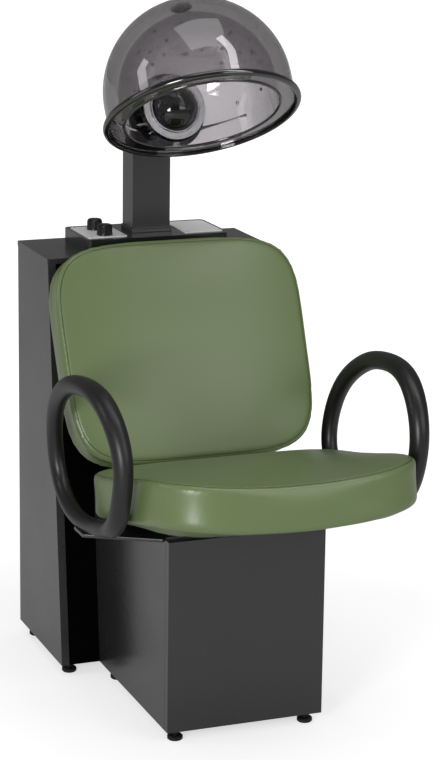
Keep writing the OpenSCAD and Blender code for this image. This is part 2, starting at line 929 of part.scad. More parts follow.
// Blower housing: a can behind the shell, with vents and the pivot lug.
// The lug is drawn in the room's own axes because the pivot is.
module blower_housing() {
  axis_tilt = hood_tilt - blower_elevation;
  end_y = hood_y + housing_end * cos(axis_tilt);
  end_z = hood_z - housing_end * sin(axis_tilt);
  pivot_y = at_back(column_reach);
  color(black)
    difference() {
      union() {
        in_blower() {
          difference() {
            translate([0, 0, housing_start])
              cylinder(h = housing_depth, r = housing_r, $fn = fine);
            translate([0, 0, housing_start - overrun])
              cylinder(h = housing_depth - housing_wall + overrun, r = blower_hole_r, $fn = fine);
            for (i = [0 : housing_vent_count - 1])
              rotate([0, 0, i * 4 * quarter / housing_vent_count])
                translate([motor_r + housing_wall, -housing_vent_w / 2, motor_end - overrun])
                  cube([blower_hole_r - motor_r - 2 * housing_wall, housing_vent_w, 4 * housing_wall]);
          }
          translate([0, 0, housing_start])
            difference() {
              cylinder(h = housing_flange_t, r = housing_flange_r, $fn = fine);
              translate([0, 0, -overrun])
                cylinder(h = housing_flange_t + 2 * overrun, r = blower_hole_r, $fn = fine);
            }
        }
        side_plate(concat(
          [for (share = lug_foot_shares) [
            end_y + share * housing_r * sin(axis_tilt) - housing_wall / 2 * cos(axis_tilt),
            end_z + share * housing_r * cos(axis_tilt) + housing_wall / 2 * sin(axis_tilt)
          ]],
          [[pivot_y, pivot_z + lug_r], [pivot_y, pivot_z - lug_r]]
        ), lug_w);
        translate([-lug_w / 2, pivot_y, pivot_z])
          rotate([0, quarter, 0])
            cylinder(h = lug_w, r = lug_r, $fn = fine);
      }
      translate([-lug_w, pivot_y, pivot_z])
        rotate([0, quarter, 0])
          cylinder(h = 2 * lug_w, r = pin_r + fit, $fn = fine);
    }
}

// Soft forms are rings of points, joined ring to ring and closed at both ends.

function signed_power(v, p) = sign(v) * pow(abs(v), p);

// Triangles between ring i and the next of m rings of n points each.
function wall_faces(i, n, m) =
  [for (j = [0 : n - 1])
    let (a = i * n + j, b = i * n + (j + 1) % n)
    let (c = (i + 1) % m * n + j, d = (i + 1) % m * n + (j + 1) % n)
    each [[a, c, b], [b, c, d]]];

// A tube whose last ring is joined to its first.
module loop_solid(rings) {
  n = len(rings[0]);
  m = len(rings);
  polyhedron(points = [for (r = rings) each r], faces = [for (i = [0 : m - 1]) each wall_faces(i, n, m)],
             convexity = 6);
}

module ring_solid(rings) {
  n = len(rings[0]);
  m = len(rings);
  middles = [for (r = [rings[0], rings[m - 1]]) [for (k = [0 : 2]) mean([for (p = r) p[k]])]];
  points = concat([for (r = rings) each r], middles);
  walls = [for (i = [0 : m - 2]) each wall_faces(i, n, m)];
  first = [for (j = [0 : n - 1]) [m * n, j, (j + 1) % n]];
  last = [for (j = [0 : n - 1]) [m * n + 1, (m - 1) * n + (j + 1) % n, (m - 1) * n + j]];
  polyhedron(points = points, faces = concat(walls, first, last), convexity = 6);
}

function total(v, i = 0) = i < len(v) ? v[i] + total(v, i + 1) : 0;
function mean(v) = total(v) / len(v);

// Seat

seat_front_power = 3.8;
seat_rear_power = 6.4;
seat_sides = 52;
seat_roll = 12;
seat_waist = 4;
seat_blend = 60;
pocket_clear = 1;
crown_power = 2.2;
crown_shares = [0.97, 0.9, 0.78, 0.6, 0.38, 0.16];
pocket_share = 0.5;
seat_y = front_y + seat_front * cos(seat_pitch) - seat_roll * sin(seat_pitch);
back_y0 = at_back(back_reach);
back_foot_y = back_y0 - back_h / 2 * sin(back_recline);
seat_rear = (back_foot_y - seat_gap - seat_y) / cos(seat_pitch);

module in_seat() {
  translate([0, seat_y, seat_z])
    rotate([-seat_pitch, 0, 0])
      children();
}

// Point of the seat's outline at angle a, drawn in by inset and scaled by share.
function seat_point(a, inset, share) =
  let (p = sin(a) > 0 ? seat_front_power : seat_rear_power)
  let (reach = sin(a) > 0 ? seat_front : seat_rear)
  [signed_power(cos(a), 2 / p) * (seat_w / 2 - inset) * share,
   -signed_power(sin(a), 2 / p) * (reach - inset) * share];

// The corners rise towards the front of the seat.
function seat_lift(p) = seat_dish * pow(2 * p[0] / seat_w, 2) / (1 + exp(p[1] / seat_blend));

function seat_ring(inset, w, share = 1, lift = 1) =
  [for (j = [0 : seat_sides - 1])
    let (p = seat_point(j * 4 * quarter / seat_sides, inset, share))
    [p[0], p[1], w + lift * seat_lift(p)]];

// Steps of a rounded edge of radius r: how far it is drawn in and how far it has risen.
roll_steps = 3;
function roll_in(r, i) = r * (1 - sin(quarter * i / roll_steps));
function roll_up(r, i) = r * (1 - cos(quarter * i / roll_steps));

pocket_inset = board_inset - pocket_clear;
seat_rings = concat(
  [seat_ring(pocket_inset, board_t + gap, pocket_share, 0)],
  [seat_ring(pocket_inset, board_t + gap, 1, 0)],
  [seat_ring(pocket_inset, 0, 1, 0)],
  [for (i = [0 : roll_steps]) seat_ring(roll_in(seat_roll, i), roll_up(seat_roll, i))],
  [seat_ring(seat_waist, seat_h / 2)],
  [for (i = [roll_steps : -1 : 0]) seat_ring(roll_in(seat_roll, i), seat_h - roll_up(seat_roll, i))],
  [for (s = crown_shares) seat_ring(seat_roll, seat_h + seat_crown * (1 - pow(s, crown_power)), s)]
);

module seat_cushion() {
  color(vinyl)
    in_seat()
      ring_solid(reversed(seat_rings));
}

module seat_board() {
  color(black)
    in_seat()
      linear_extrude(board_t)
        polygon([for (j = [0 : seat_sides - 1]) seat_point(j * 4 * quarter / seat_sides, board_inset, 1)]);
}

plate_wing_d = 52;
plate_wing_setback = 70;
plate_corner = 10;
plate_w_outer = 2 * arm_root_x + arm_w;
plate_rear_y = pedestal_front_y + plate_corner + plate_wing_setback + plate_wing_d;
plate_thick = 6;
rail_x = 96;
rail_w = 34;
rail_front = 150;
rail_front_h = 14;
rail_rear_h = 10.3;
plate_top = pedestal_h + plate_thick;

// The seat stands clear of the pedestal at its rear and leaves the rails their height.
seat_z = max(
  pedestal_h + seat_clear + seat_rear * sin(seat_pitch),
  plate_top + rail_rear_h + (plate_rear_y - seat_y) * tan(seat_pitch)
);

// One side of the cross plate's outline, listed from its rear corner forward.
function plate_side(side) = [
  [side * plate_w_outer / 2, plate_rear_y],
  [side * plate_w_outer / 2, plate_rear_y - plate_wing_d],
  [side * (pedestal_w / 2 + plate_corner), pedestal_front_y + plate_corner / 2],
  [side * pedestal_w / 2, pedestal_front_y + 3 * plate_corner / 2]
];

// Cross plate on the pedestal, with slanted wings that carry the arms.
module arm_plate() {
  color(black)
    translate([0, 0, pedestal_h])
      linear_extrude(plate_thick)
        polygon(concat(plate_side(left), reversed(plate_side(right))));
}

// Height of the seat board's underside over a place on the floor.
function board_under(y) = seat_z - (y - seat_y) * tan(seat_pitch);

// Two wedge rails that hold the seat board at its slope.
module seat_rails() {
  tip = pedestal_front_y - rail_front;
  color(black)
    for (side = [left, right])
      translate([side * rail_x, 0, 0])
        side_plate([
          [plate_rear_y, plate_top], [pedestal_front_y, plate_top],
          [tip, board_under(tip) - rail_front_h], [tip, board_under(tip)],
          [plate_rear_y, board_under(plate_rear_y)]
        ], rail_w);
}

// Back

back_power = 4.8;
back_sides = 52;
back_roll = 10;
back_waist = 3;

module in_back() {
  translate([0, back_y0, back_z])
    rotate([-back_recline, 0, 0])
      children();
}

// Point of the back's outline at angle a: a rounded square that widens upwards.
function back_point(a, inset, share) =
  let (v = signed_power(sin(a), 2 / back_power) * (back_h / 2 - inset))
  let (half_w = (back_top_w + back_bottom_w) / 4 + (back_top_w - back_bottom_w) / 4 * (2 * v / back_h))
  [signed_power(cos(a), 2 / back_power) * (half_w - inset) * share, v * share];

function back_ring(inset, depth, share = 1) =
  [for (j = [0 : back_sides - 1])
    let (p = back_point(j * 4 * quarter / back_sides, inset, share))
    [p[0], depth, p[1]]];

back_rings = concat(
  [back_ring(pocket_inset, back_t - board_t - gap, pocket_share)],
  [back_ring(pocket_inset, back_t - board_t - gap)],
  [back_ring(pocket_inset, back_t)],
  [for (i = [0 : roll_steps]) back_ring(roll_in(back_roll, i), back_t - roll_up(back_roll, i))],
  [back_ring(back_waist, back_t / 2)],
  [for (i = [roll_steps : -1 : 0]) back_ring(roll_in(back_roll, i), roll_up(back_roll, i))],
  [for (s = crown_shares) back_ring(back_roll, -back_crown * (1 - pow(s, crown_power)), s)]
);

module back_cushion() {
  color(vinyl)
    in_back()
      ring_solid(back_rings);
}

module back_board() {
  color(black)
    in_back()
      translate([0, back_t - board_t, 0])
        rotate([-quarter, 0, 0])
          linear_extrude(board_t)
            polygon([for (j = [0 : back_sides - 1])
              let (p = back_point(j * 4 * quarter / back_sides, board_inset, 1)) [p[0], -p[1]]]);
}

bracket_x = 110;
bracket_w = 36;
bracket_below = 144;
bracket_above = 76;
bracket_low = back_z - bracket_below;
bracket_high = back_z + bracket_above;

// Depth of the back board's rear face over a height above the floor.
function back_rear_y(z) =
  back_y0 + (z - back_z) * tan(back_recline) + back_t / cos(back_recline);

// Two wedge brackets from the cabinet's front to the back board.
module back_brackets() {
  color(black)
    for (side = [left, right])
      translate([side * bracket_x, 0, 0])
        side_plate([
          [back_rear_y(bracket_low) + gap, bracket_low],
          [cabinet_front_y(bracket_low) + front_setback - gap, bracket_low],
          [cabinet_front_y(bracket_high) + front_setback - gap, bracket_high],
          [back_rear_y(bracket_high) + gap, bracket_high]
        ], bracket_w);
}

// Arms

// Each row: place along the loop, height, outward bow, width and thickness, all as shares.
arm_path_shares = [
  [0.12, 0.18, 0.16, 1.10, 1.00], [0.03, 0.41, 0.25, 1.00, 1.00], [0.00, 0.70, 0.25, 1.06, 1.00],
  [0.20, 1.00, 0.60, 1.22, 0.92], [0.52, 0.97, 0.70, 1.10, 0.92], [0.69, 0.90, 0.75, 1.00, 0.94],
  [0.91, 0.70, 0.55, 0.92, 0.96], [1.00, 0.38, 0.25, 0.90, 0.94], [0.95, 0.12, 0.05, 0.90, 0.92],
  [0.76, 0.00, 0.10, 0.92, 0.84], [0.52, 0.01, 0.00, 0.96, 0.72], [0.29, 0.09, 0.02, 0.98, 0.86]
];
arm_steps = 5;
arm_sides = 12;
arm_front_y = front_y + arm_setback;

function arm_key(k) =
  let (n = len(arm_path_shares), s = arm_path_shares[(k + n) % n])
  [arm_root_x + s[2] * arm_bow, arm_front_y + s[0] * arm_l, arm_z + s[1] * arm_h,
   s[3] * arm_w / 2, s[4] * arm_t / 2];

// Smooth closed curve through the keys: each span is a cubic fixed by its two neighbours.
function arm_at(k, t) =
  let (a = arm_key(k - 1), b = arm_key(k), c = arm_key(k + 1), d = arm_key(k + 2))
  b + t * (c - a) / 2 + t * t * (2 * a - 5 * b + 4 * c - d) / 2
    + t * t * t * (3 * b - 3 * c + d - a) / 2;

function unit(v) = v / norm(v);

arm_centres = [for (k = [0 : len(arm_path_shares) - 1], i = [0 : arm_steps - 1]) arm_at(k, i / arm_steps)];

function arm_ring(i) =
  let (n = len(arm_centres), here = arm_centres[i])
  let (next = arm_centres[(i + 1) % n], before = arm_centres[(i + n - 1) % n])
  let (along = unit([for (k = [0 : 2]) next[k] - before[k]]))
  let (side = unit([1, 0, 0] - along * along[0]), up = cross(along, side))
  [for (j = [0 : arm_sides - 1])
    let (a = j * 4 * quarter / arm_sides)
    [here[0], here[1], here[2]] + side * cos(a) * here[3] + up * sin(a) * here[4]];

module arm(side) {
  color(black)
    mirror([side == left ? 1 : 0, 0, 0])
      difference() {
        loop_solid(reversed([for (i = [0 : len(arm_centres) - 1]) arm_ring(i)]));
        translate([arm_root_x - arm_w, plate_rear_y - plate_wing_d, pedestal_h - overrun])
          cube([2 * arm_w, plate_wing_d + gap, overrun + plate_thick + gap]);
      }
}

arm_bolt_head_r = 6;
arm_bolt_head_h = 4;
arm_bolt_pitch = 30;

// Two bolt heads under the cross plate for each of the two arms.
module arm_bolts() {
  color(black)
    for (side = [left, right], end = [-1, 1])
      translate([side * arm_root_x, plate_rear_y - plate_wing_d / 2 + end * arm_bolt_pitch / 2,
                 pedestal_h - arm_bolt_head_h])
        cylinder(h = arm_bolt_head_h, r = arm_bolt_head_r, $fn = hexagon);
}

bolt_head_r = 7;
bolt_head_h = 4;
bolt_rise = 30;

// Bolt heads beside the brackets on the back board's rear face.
module board_bolts() {
  color(steel)
    in_back()
      for (side = [left, right], v = [-1, 1])
        translate([side * (bracket_x + bracket_w), back_t, v * bolt_rise])
          rotate([-quarter, 0, 0])
            cylinder(h = bolt_head_h, r = bolt_head_r, $fn = hexagon);
}

cabinet_side(left);  // cabinet_side_left
cabinet_side(right);  // cabinet_side_right
cabinet_top();
cabinet_bottom();
cabinet_front();
cabinet_back();
power_inlet();
foot_inserts();
foot(cabinet_foot_places[0]);  // cabinet_foot_front_left
foot(cabinet_foot_places[1]);  // cabinet_foot_front_right
foot(cabinet_foot_places[2]);  // cabinet_foot_rear_left
foot(cabinet_foot_places[3]);  // cabinet_foot_rear_right
pedestal_front();
pedestal_side(left);  // pedestal_side_left
pedestal_side(right);  // pedestal_side_right
pedestal_top();
pedestal_bottom();
foot(pedestal_foot_places[0]);  // pedestal_foot_front_left
foot(pedestal_foot_places[1]);  // pedestal_foot_front_right
foot(pedestal_foot_places[2]);  // pedestal_foot_rear_left
foot(pedestal_foot_places[3]);  // pedestal_foot_rear_right
console_tray();
control_plate();
label_plate();
plate_screws();
switch_body(timer_size, knob_rear_y);  // timer_body
knob_shaft(timer_size, knob_rear_y);  // timer_shaft
knob(knob_rear_y);  // timer_knob
switch_body(switch_size, knob_front_y);  // heat_switch_body
knob_shaft(switch_size, knob_front_y);  // heat_shaft
knob(knob_front_y);  // heat_knob
column_tube();
column_collar();
hood_fork();
pivot_pin();
blower_housing();
blower_motor();
fan_shaft();
fan_wheel();
heater_ring();
outer_shell();
vent_cap();
hood_rim();
hood_flange();
inner_liner();
liner_lip();
cover_ring();
blower_cover();
ring_screws();
arm_plate();
seat_rails();
seat_board();
seat_cushion();
back_brackets();
back_board();
back_cushion();
arm(left);  // arm_left
arm(right);  // arm_right
arm_bolts();
board_bolts();
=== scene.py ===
import sys
import json
import logging
import math
from dataclasses import dataclass, field
from enum import Enum
from functools import cache

import bpy
import numpy as np
from bpy.types import Material, Mesh, Node, NodeTree, Object
from mathutils import Matrix


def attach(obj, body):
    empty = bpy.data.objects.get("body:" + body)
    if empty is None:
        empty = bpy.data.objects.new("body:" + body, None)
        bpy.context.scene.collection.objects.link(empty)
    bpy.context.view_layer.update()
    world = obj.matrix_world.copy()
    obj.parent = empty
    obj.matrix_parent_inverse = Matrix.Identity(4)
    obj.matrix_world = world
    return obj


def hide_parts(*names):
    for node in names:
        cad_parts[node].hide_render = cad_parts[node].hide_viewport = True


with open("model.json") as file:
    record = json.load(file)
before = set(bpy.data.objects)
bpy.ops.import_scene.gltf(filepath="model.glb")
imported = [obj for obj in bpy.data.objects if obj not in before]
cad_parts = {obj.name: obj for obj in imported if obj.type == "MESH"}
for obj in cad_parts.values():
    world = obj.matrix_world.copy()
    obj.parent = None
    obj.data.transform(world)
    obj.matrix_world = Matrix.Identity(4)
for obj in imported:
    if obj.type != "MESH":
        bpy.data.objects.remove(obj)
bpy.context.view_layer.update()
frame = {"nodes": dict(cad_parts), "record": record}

Array = np.ndarray

# Pieces are sized in millimetres and degrees. Camera, lamps and floor are placed in metres.
MM = 0.001
MERGE_MM = 0.02
SHARP_ANGLE = math.radians(35)
SENSOR_MM = 36
WHITE = (1, 1, 1, 1)
ACROSS = np.array([1.0, 0, 0])
UP = np.array([0.0, 0, 1])
# The cloth that swells a cushion's cover.
CLOTH = {
    "quality": 5, "mass": 0.3, "tension_stiffness": 25, "compression_stiffness": 25, "shear_stiffness": 15,
    "bending_stiffness": 2, "use_pressure": True, "uniform_pressure_force": 4, "vertex_group_mass": "held",
}
log = logging.getLogger("dryer_chair")


class Side(Enum):
    """The two sides of the chair, as the sign of X."""

    LEFT = -1
    RIGHT = 1


class Surface(Enum):
    """Kinds of surface a finish can describe."""

    SOLID = "solid"
    METAL = "metal"
    CLEAR = "clear"


def signed_power(values: Array, power: float | Array) -> Array:
    """sign(v) times |v| to the given power, the building block of a rounded square."""
    return np.sign(values) * np.abs(values) ** power


def unit(vectors: Array) -> Array:
    """The vectors divided by their own length."""
    return vectors / np.maximum(np.linalg.norm(vectors, axis=-1, keepdims=True), 1e-12)


def circle(count: int) -> Array:
    """Angles evenly once round, in radians."""
    return np.linspace(0, 2 * np.pi, count, endpoint=False)


def ring_faces(rows: int, columns: int) -> Array:
    """Quads between neighbouring closed rings of points.

    Args:
        rows: number of rings.
        columns: points in each ring.

    Returns:
        Array of point numbers, four a face.
    """
    i, j = np.meshgrid(np.arange(rows - 1), np.arange(columns), indexing="ij")
    a = i * columns + j
    b = i * columns + (j + 1) % columns
    return np.stack([a, b, b + columns, a + columns], axis=-1).reshape(-1, 4)


def looped_faces(rows: int, columns: int) -> Array:
    """Quads between neighbouring closed rings, and from the last ring to the first."""
    return ring_faces(rows + 1, columns) % (rows * columns)


def closed_rings(rings: Array) -> tuple[Array, list[Array]]:
    """A closed skin over rings of points, with a fan to the middle at each end.

    Args:
        rings: array of rings, points and coordinates.

    Returns:
        The points and the face arrays, turned so that the volume is positive.
    """
    rows, columns, _ = rings.shape
    points = np.concatenate([rings.reshape(-1, 3), rings[:1].mean(axis=1), rings[-1:].mean(axis=1)])
    j = np.arange(columns)
    first = np.stack([np.full(columns, rows * columns), (j + 1) % columns, j], axis=-1)
    start = (rows - 1) * columns
    last = np.stack([np.full(columns, rows * columns + 1), start + j, start + (j + 1) % columns], axis=-1)
    faces = [ring_faces(rows, columns), first, last]
    return points, outward(points, faces)


def outward(points: Array, faces: list[Array]) -> list[Array]:
    """The faces, all turned round if the volume they enclose comes out negative."""
    volume = 0.0
    for f in faces:
        for k in range(1, f.shape[1] - 1):
            a, b, c = points[f[:, 0]], points[f[:, k]], points[f[:, k + 1]]
            volume += float(np.einsum("ij,ij->i", a, np.cross(b, c)).sum())
    return faces if volume > 0 else [f[:, ::-1] for f in faces]


def make_piece(
    name: str, points: Array, faces: list[Array], smooth: bool = True
) -> Object:
    """A mesh object at the origin from whole arrays.

    Args:
        name: the piece's name.
        points: coordinates in metres.
        faces: face arrays, each with the same number of corners a face.
        smooth: shade smooth.

    Returns:
        The object, linked into the scene.
    """
    mesh = bpy.data.meshes.new(name)
    corners = np.concatenate([f.ravel() for f in faces]).astype(np.int32)
    counts = np.concatenate([np.full(len(f), f.shape[1]) for f in faces])
    starts = np.concatenate([[0], np.cumsum(counts)[:-1]]).astype(np.int32)
    mesh.vertices.add(len(points))
    mesh.vertices.foreach_set("co", np.ascontiguousarray(points, np.float32).ravel())
    mesh.loops.add(len(corners))
    mesh.loops.foreach_set("vertex_index", corners)
    mesh.polygons.add(len(counts))
    mesh.polygons.foreach_set("loop_start", starts)
    mesh.polygons.foreach_set("use_smooth", np.full(len(counts), smooth))
    mesh.update(calc_edges=True)
    mesh.validate()
    piece = bpy.data.objects.new(name, mesh)
    bpy.context.scene.collection.objects.link(piece)
    return piece


def read(
    items: bpy.types.bpy_prop_collection, key: str, width: int = 1, kind: type = np.float32
) -> Array:
    """One property of all the items as an array, with a row each where it is wider than one."""
    flat = np.empty(len(items) * width, kind)
    items.foreach_get(key, flat)
    return flat.reshape(-1, width) if width > 1 else flat


def vertex_array(mesh: Mesh) -> Array:
    """The mesh's vertices as an array of points."""
    return read(mesh.vertices, "co", 3).astype(float)


def applied(piece: Object) -> None:
    """Takes the modified mesh as the piece's own and removes the modifiers."""
    graph = bpy.context.evaluated_depsgraph_get()
    mesh = bpy.data.meshes.new_from_object(piece.evaluated_get(graph))
    piece.modifiers.clear()
    piece.data = mesh


def painted(piece: Object, *finishes: str) -> None:
    """Gives a piece these finishes, in order, and smooth shading."""
    piece.data.materials.clear()
    for name in finishes:
        piece.data.materials.append(FINISHES[name].material())
    piece.data.polygons.foreach_set("use_smooth", np.ones(len(piece.data.polygons), bool))


def facing(right: Array, up: Array, back: Array, place: Array | tuple[float, float, float]) -> Matrix:
    """The placement of a camera or a lamp that looks against its back axis."""
    turn = Matrix([[*map(float, row)] for row in np.stack([right, up, back], axis=1)]).to_4x4()
    turn.translation = place
    return turn


class Sheet:
    """A node tree being filled."""

    def __init__(self, tree: NodeTree) -> None:
        """Keeps the tree that is being filled."""
        self.tree = tree

    def feed(self, node: Node, feeds: dict[str | int, object]) -> None:
        """Sets a node's inputs, each to a constant or to another node's output.

        Args:
            node: the node.
            feeds: by the input's name or number, a constant, or a node and the name of its output.
        """
        for entry, value in feeds.items():
            if isinstance(value, tuple) and isinstance(value[0], Node):
                source, output = value
                self.tree.links.new(source.outputs[output], node.inputs[entry])
            else:
                node.inputs[entry].default_value = value

    def add(self, kind: str, feeds: dict[str | int, object] | None = None, **settings: object) -> Node:
        """Adds a node.

        Args:
            kind: the node's type.
            feeds: what goes into its inputs.
            settings: the node's own properties.

        Returns:
            The node.
        """
        node = self.tree.nodes.new(kind)
        for name, value in settings.items():
            setattr(node, name, value)
        self.feed(node, feeds or {})
        return node

    def mixed(self, factor: object, first: object, second: object) -> tuple[Node, int]:
        """Adds a mix of two colours, and gives its output."""
        return self.add("ShaderNodeMix", {0: factor, 6: first, 7: second}, data_type="RGBA"), 2


class Effects:
    """Shader node groups that several finishes share."""

    @staticmethod
    def group(
        name: str, inputs: dict[str, float], outputs: tuple[str, ...]
    ) -> tuple[Sheet, Node, Node]:
        """A new group with its sockets, all of them plain numbers.

        Args:
            name: the group's name.
            inputs: the inputs with their start values.
            outputs: the outputs' names.

        Returns:
            A sheet on the group's tree, and its entry and exit nodes.
        """
        tree = bpy.data.node_groups.new(name, "ShaderNodeTree")
        for key, value in inputs.items():
            socket = tree.interface.new_socket(key, in_out="INPUT", socket_type="NodeSocketFloat")
            socket.default_value = value
        for key in outputs:
            tree.interface.new_socket(key, in_out="OUTPUT", socket_type="NodeSocketFloat")
        sheet = Sheet(tree)
        return sheet, sheet.add("NodeGroupInput"), sheet.add("NodeGroupOutput")

    @staticmethod
    @cache
    def cloudy_roughness() -> NodeTree:
        """Roughness that drifts between two values, as handled surfaces have."""
        sheet, entry, leave = Effects.group(
            "CloudyRoughness", {"Scale": 4.0, "Low": 0.3, "High": 0.4}, ("Roughness",)
        )
        place = sheet.add("ShaderNodeTexCoord")
        noise = sheet.add("ShaderNodeTexNoise", {
            "Vector": (place, "Object"), "Scale": (entry, "Scale"), "Detail": 3.0,
        })
        spread = sheet.add("ShaderNodeMapRange", {
            "Value": (noise, 0), "From Min": 0.3, "From Max": 0.7, "To Min": (entry, "Low"),
            "To Max": (entry, "High"),
        })
        sheet.feed(leave, {"Roughness": (spread, "Result")})
        return sheet.tree

    @staticmethod
    @cache
    def grain() -> NodeTree:
        """Height of a fine pebbled or drawn grain; Stretch lengthens it along X."""
        sheet, entry, leave = Effects.group(
            "SurfaceGrain", {"Scale": 400.0, "Stretch": 1.0, "Pebbles": 0.5}, ("Height",)
        )
        place = sheet.add("ShaderNodeTexCoord")
        stretch = sheet.add("ShaderNodeCombineXYZ", {0: (entry, "Stretch"), 1: 1.0, 2: 1.0})
        both_ways = {0: (place, "Object"), 1: (stretch, 0)}
        scaled = sheet.add("ShaderNodeVectorMath", both_ways, operation="MULTIPLY")
        feeds = {"Vector": (scaled, 0), "Scale": (entry, "Scale")}
        noise = sheet.add("ShaderNodeTexNoise", {**feeds, "Detail": 2.0})
        cells = sheet.add("ShaderNodeTexVoronoi", feeds, feature="SMOOTH_F1")
        blend = {"Factor": (entry, "Pebbles"), "A": (noise, 0), "B": (cells, "Distance")}
        both = sheet.add("ShaderNodeMix", blend, data_type="FLOAT")
        sheet.feed(leave, {"Height": (both, "Result")})
        return sheet.tree

    @staticmethod
    @cache
    def seam_line() -> NodeTree:
        """Height of a sewn seam's groove and the share of painted shade along it, from the distance to it
        kept on the mesh.

        The painted shade is exp of minus (distance / width) squared, and the height is minus the painted
        shade.
        """
        sheet, entry, leave = Effects.group("SeamLine", {"Width": 1.0}, ("Height", "Shade"))
        distance = sheet.add("ShaderNodeAttribute", attribute_name="seam_mm")
        ratio = {0: (distance, "Fac"), 1: (entry, "Width")}
        share = sheet.add("ShaderNodeMath", ratio, operation="DIVIDE")
        square = sheet.add("ShaderNodeMath", {0: (share, 0), 1: (share, 0)}, operation="MULTIPLY")
        negative = sheet.add("ShaderNodeMath", {0: (square, 0), 1: -1.0}, operation="MULTIPLY")
        bell = sheet.add("ShaderNodeMath", {0: (negative, 0)}, operation="EXPONENT")
        down = sheet.add("ShaderNodeMath", {0: (bell, 0), 1: -1.0}, operation="MULTIPLY")
        sheet.feed(leave, {"Height": (down, 0), "Shade": (bell, 0)})
        return sheet.tree


def linear(colour: tuple[float, float, float]) -> tuple[float, float, float, float]:
    """A display colour of 0 to 255 turned to the linear light that the shader works in."""
    share = np.array(colour, float) / 255
    value = np.where(share <= 0.04045, share / 12.92, ((share + 0.055) / 1.055) ** 2.4)
    return (float(value[0]), float(value[1]), float(value[2]), 1.0)


@dataclass(frozen=True)
class Finish:
    """One finish: its colour, gloss and grain, and the material made from them."""

    name: str
    colour: tuple[float, float, float]
    rough: tuple[float, float] = (0.35, 0.45)
    surface: Surface = Surface.SOLID
    coat: float = 0.0
    coat_rough: float = 0.1
    cloud_scale: float = 6.0
    grain_scale: float = 600.0
    grain_depth: float = 0.0
    grain_stretch: float = 1.0
    pebbles: float = 0.5
    specular: float = 0.5
    ior: float = 1.45
    seam: bool = False
    drift: float = 0.06
    # Painted shade at a clear wall's silhouette: the colour it turns to where it faces away from the eye.
    painted_edge_shade: tuple[float, float, float] = (0, 0, 0)
    edge_blend: float = 0.3
    shadow_share: float = 0.5
    # Painted shade in a seam's groove: its width, and the share of the colour left on the seam.
    seam_shade_width: float = 0.8
    seam_shade: float = 0.3
    seam_bump_width: float = 1.6
    seam_depth: float = 0.5

    @cache
    def material(self) -> Material:
        """The finish as a material, built once and shared."""
        made = bpy.data.materials.new(f"{self.name}_finish")
        made.use_nodes = True
        made.diffuse_color = linear(self.colour)
        made.node_tree.nodes.clear()
        sheet = Sheet(made.node_tree)
        shader = sheet.add("ShaderNodeBsdfPrincipled", {
            "Base Color": linear(self.colour), "Metallic": float(self.surface is Surface.METAL),
            "IOR": self.ior, "Specular IOR Level": self.specular, "Coat Weight": self.coat,
            "Coat Roughness": self.coat_rough,
        })
        sheet.add("ShaderNodeOutputMaterial", {"Surface": (shader, "BSDF")})
        self._roughness(sheet, shader)
        if self.surface is Surface.CLEAR:
            self._see_through(sheet, shader)
            self._tint(sheet, shader)
        else:
            self._colour(sheet, shader)
        self._relief(sheet, shader)
        return made

    def _roughness(self, sheet: Sheet, shader: Node) -> None:
        """Roughness drifting between the two values."""
        low, high = self.rough
        values = {"Scale": self.cloud_scale, "Low": low, "High": high}
        cloud = sheet.add("ShaderNodeGroup", values, node_tree=Effects.cloudy_roughness())
        sheet.feed(shader, {"Roughness": (cloud, "Roughness")})

    def _see_through(self, sheet: Sheet, shader: Node) -> None:
        """Clear plastic, which lets its shadow share of the light through where it shades other things."""
        path = sheet.add("ShaderNodeLightPath")
        solid = sheet.add("ShaderNodeMapRange", {
            "Value": (path, "Is Shadow Ray"), "To Min": 1.0, "To Max": 1 - self.shadow_share,
        })
        sheet.feed(shader, {"Transmission Weight": 1.0, "Alpha": (solid, "Result")})

    def _tint(self, sheet: Sheet, shader: Node) -> None:
        """A clear wall's colour, turning to painted shade where the wall turns away from the eye."""
        turn = sheet.add("ShaderNodeLayerWeight", {"Blend": self.edge_blend})
        with_edge_shade = sheet.mixed((turn, "Facing"), linear(self.colour), linear(self.painted_edge_shade))
        sheet.feed(shader, {"Base Color": with_edge_shade})

    def _shaded(self, share: float) -> tuple[float, float, float, float]:
        """The colour times this share, in linear light."""
        red, green, blue, _ = linear(self.colour)
        return (red * share, green * share, blue * share, 1.0)

    def _colour(self, sheet: Sheet, shader: Node) -> None:
        """Colour drifting a little in value, and darker along a seam with painted shade in its groove."""
        place = sheet.add("ShaderNodeTexCoord")
        noise = sheet.add("ShaderNodeTexNoise", {
            "Vector": (place, "Object"), "Scale": self.cloud_scale, "Detail": 2.0,
        })
        colour = sheet.mixed((noise, 0), self._shaded(1 - self.drift), self._shaded(1 + self.drift))
        # Painted shade in the seam's groove.
        if self.seam:
            seam = self._seam(sheet, self.seam_shade_width)
            colour = sheet.mixed((seam, "Shade"), colour, self._shaded(self.seam_shade))
        sheet.feed(shader, {"Base Color": colour})

    @staticmethod
    def _seam(sheet: Sheet, width: float) -> Node:
        """The seam's effect at this width."""
        return sheet.add("ShaderNodeGroup", {"Width": width}, node_tree=Effects.seam_line())

    def _relief(self, sheet: Sheet, shader: Node) -> None:
        """Grain and seam as bumps, the seam laid over the grain."""
        layers = []
        if self.grain_depth:
            values = {"Scale": self.grain_scale, "Stretch": self.grain_stretch, "Pebbles": self.pebbles}
            grain = sheet.add("ShaderNodeGroup", values, node_tree=Effects.grain())
            layers.append((grain, self.grain_depth))
        if self.seam:
            layers.append((self._seam(sheet, self.seam_bump_width), self.seam_depth))
        normal = {}
        for pattern, depth in layers:
            bump = sheet.add("ShaderNodeBump", {
                "Strength": 1.0, "Distance": depth * MM, "Height": (pattern, "Height"), **normal,
            })
            normal = {"Normal": (bump, "Normal")}
        sheet.feed(shader, normal)


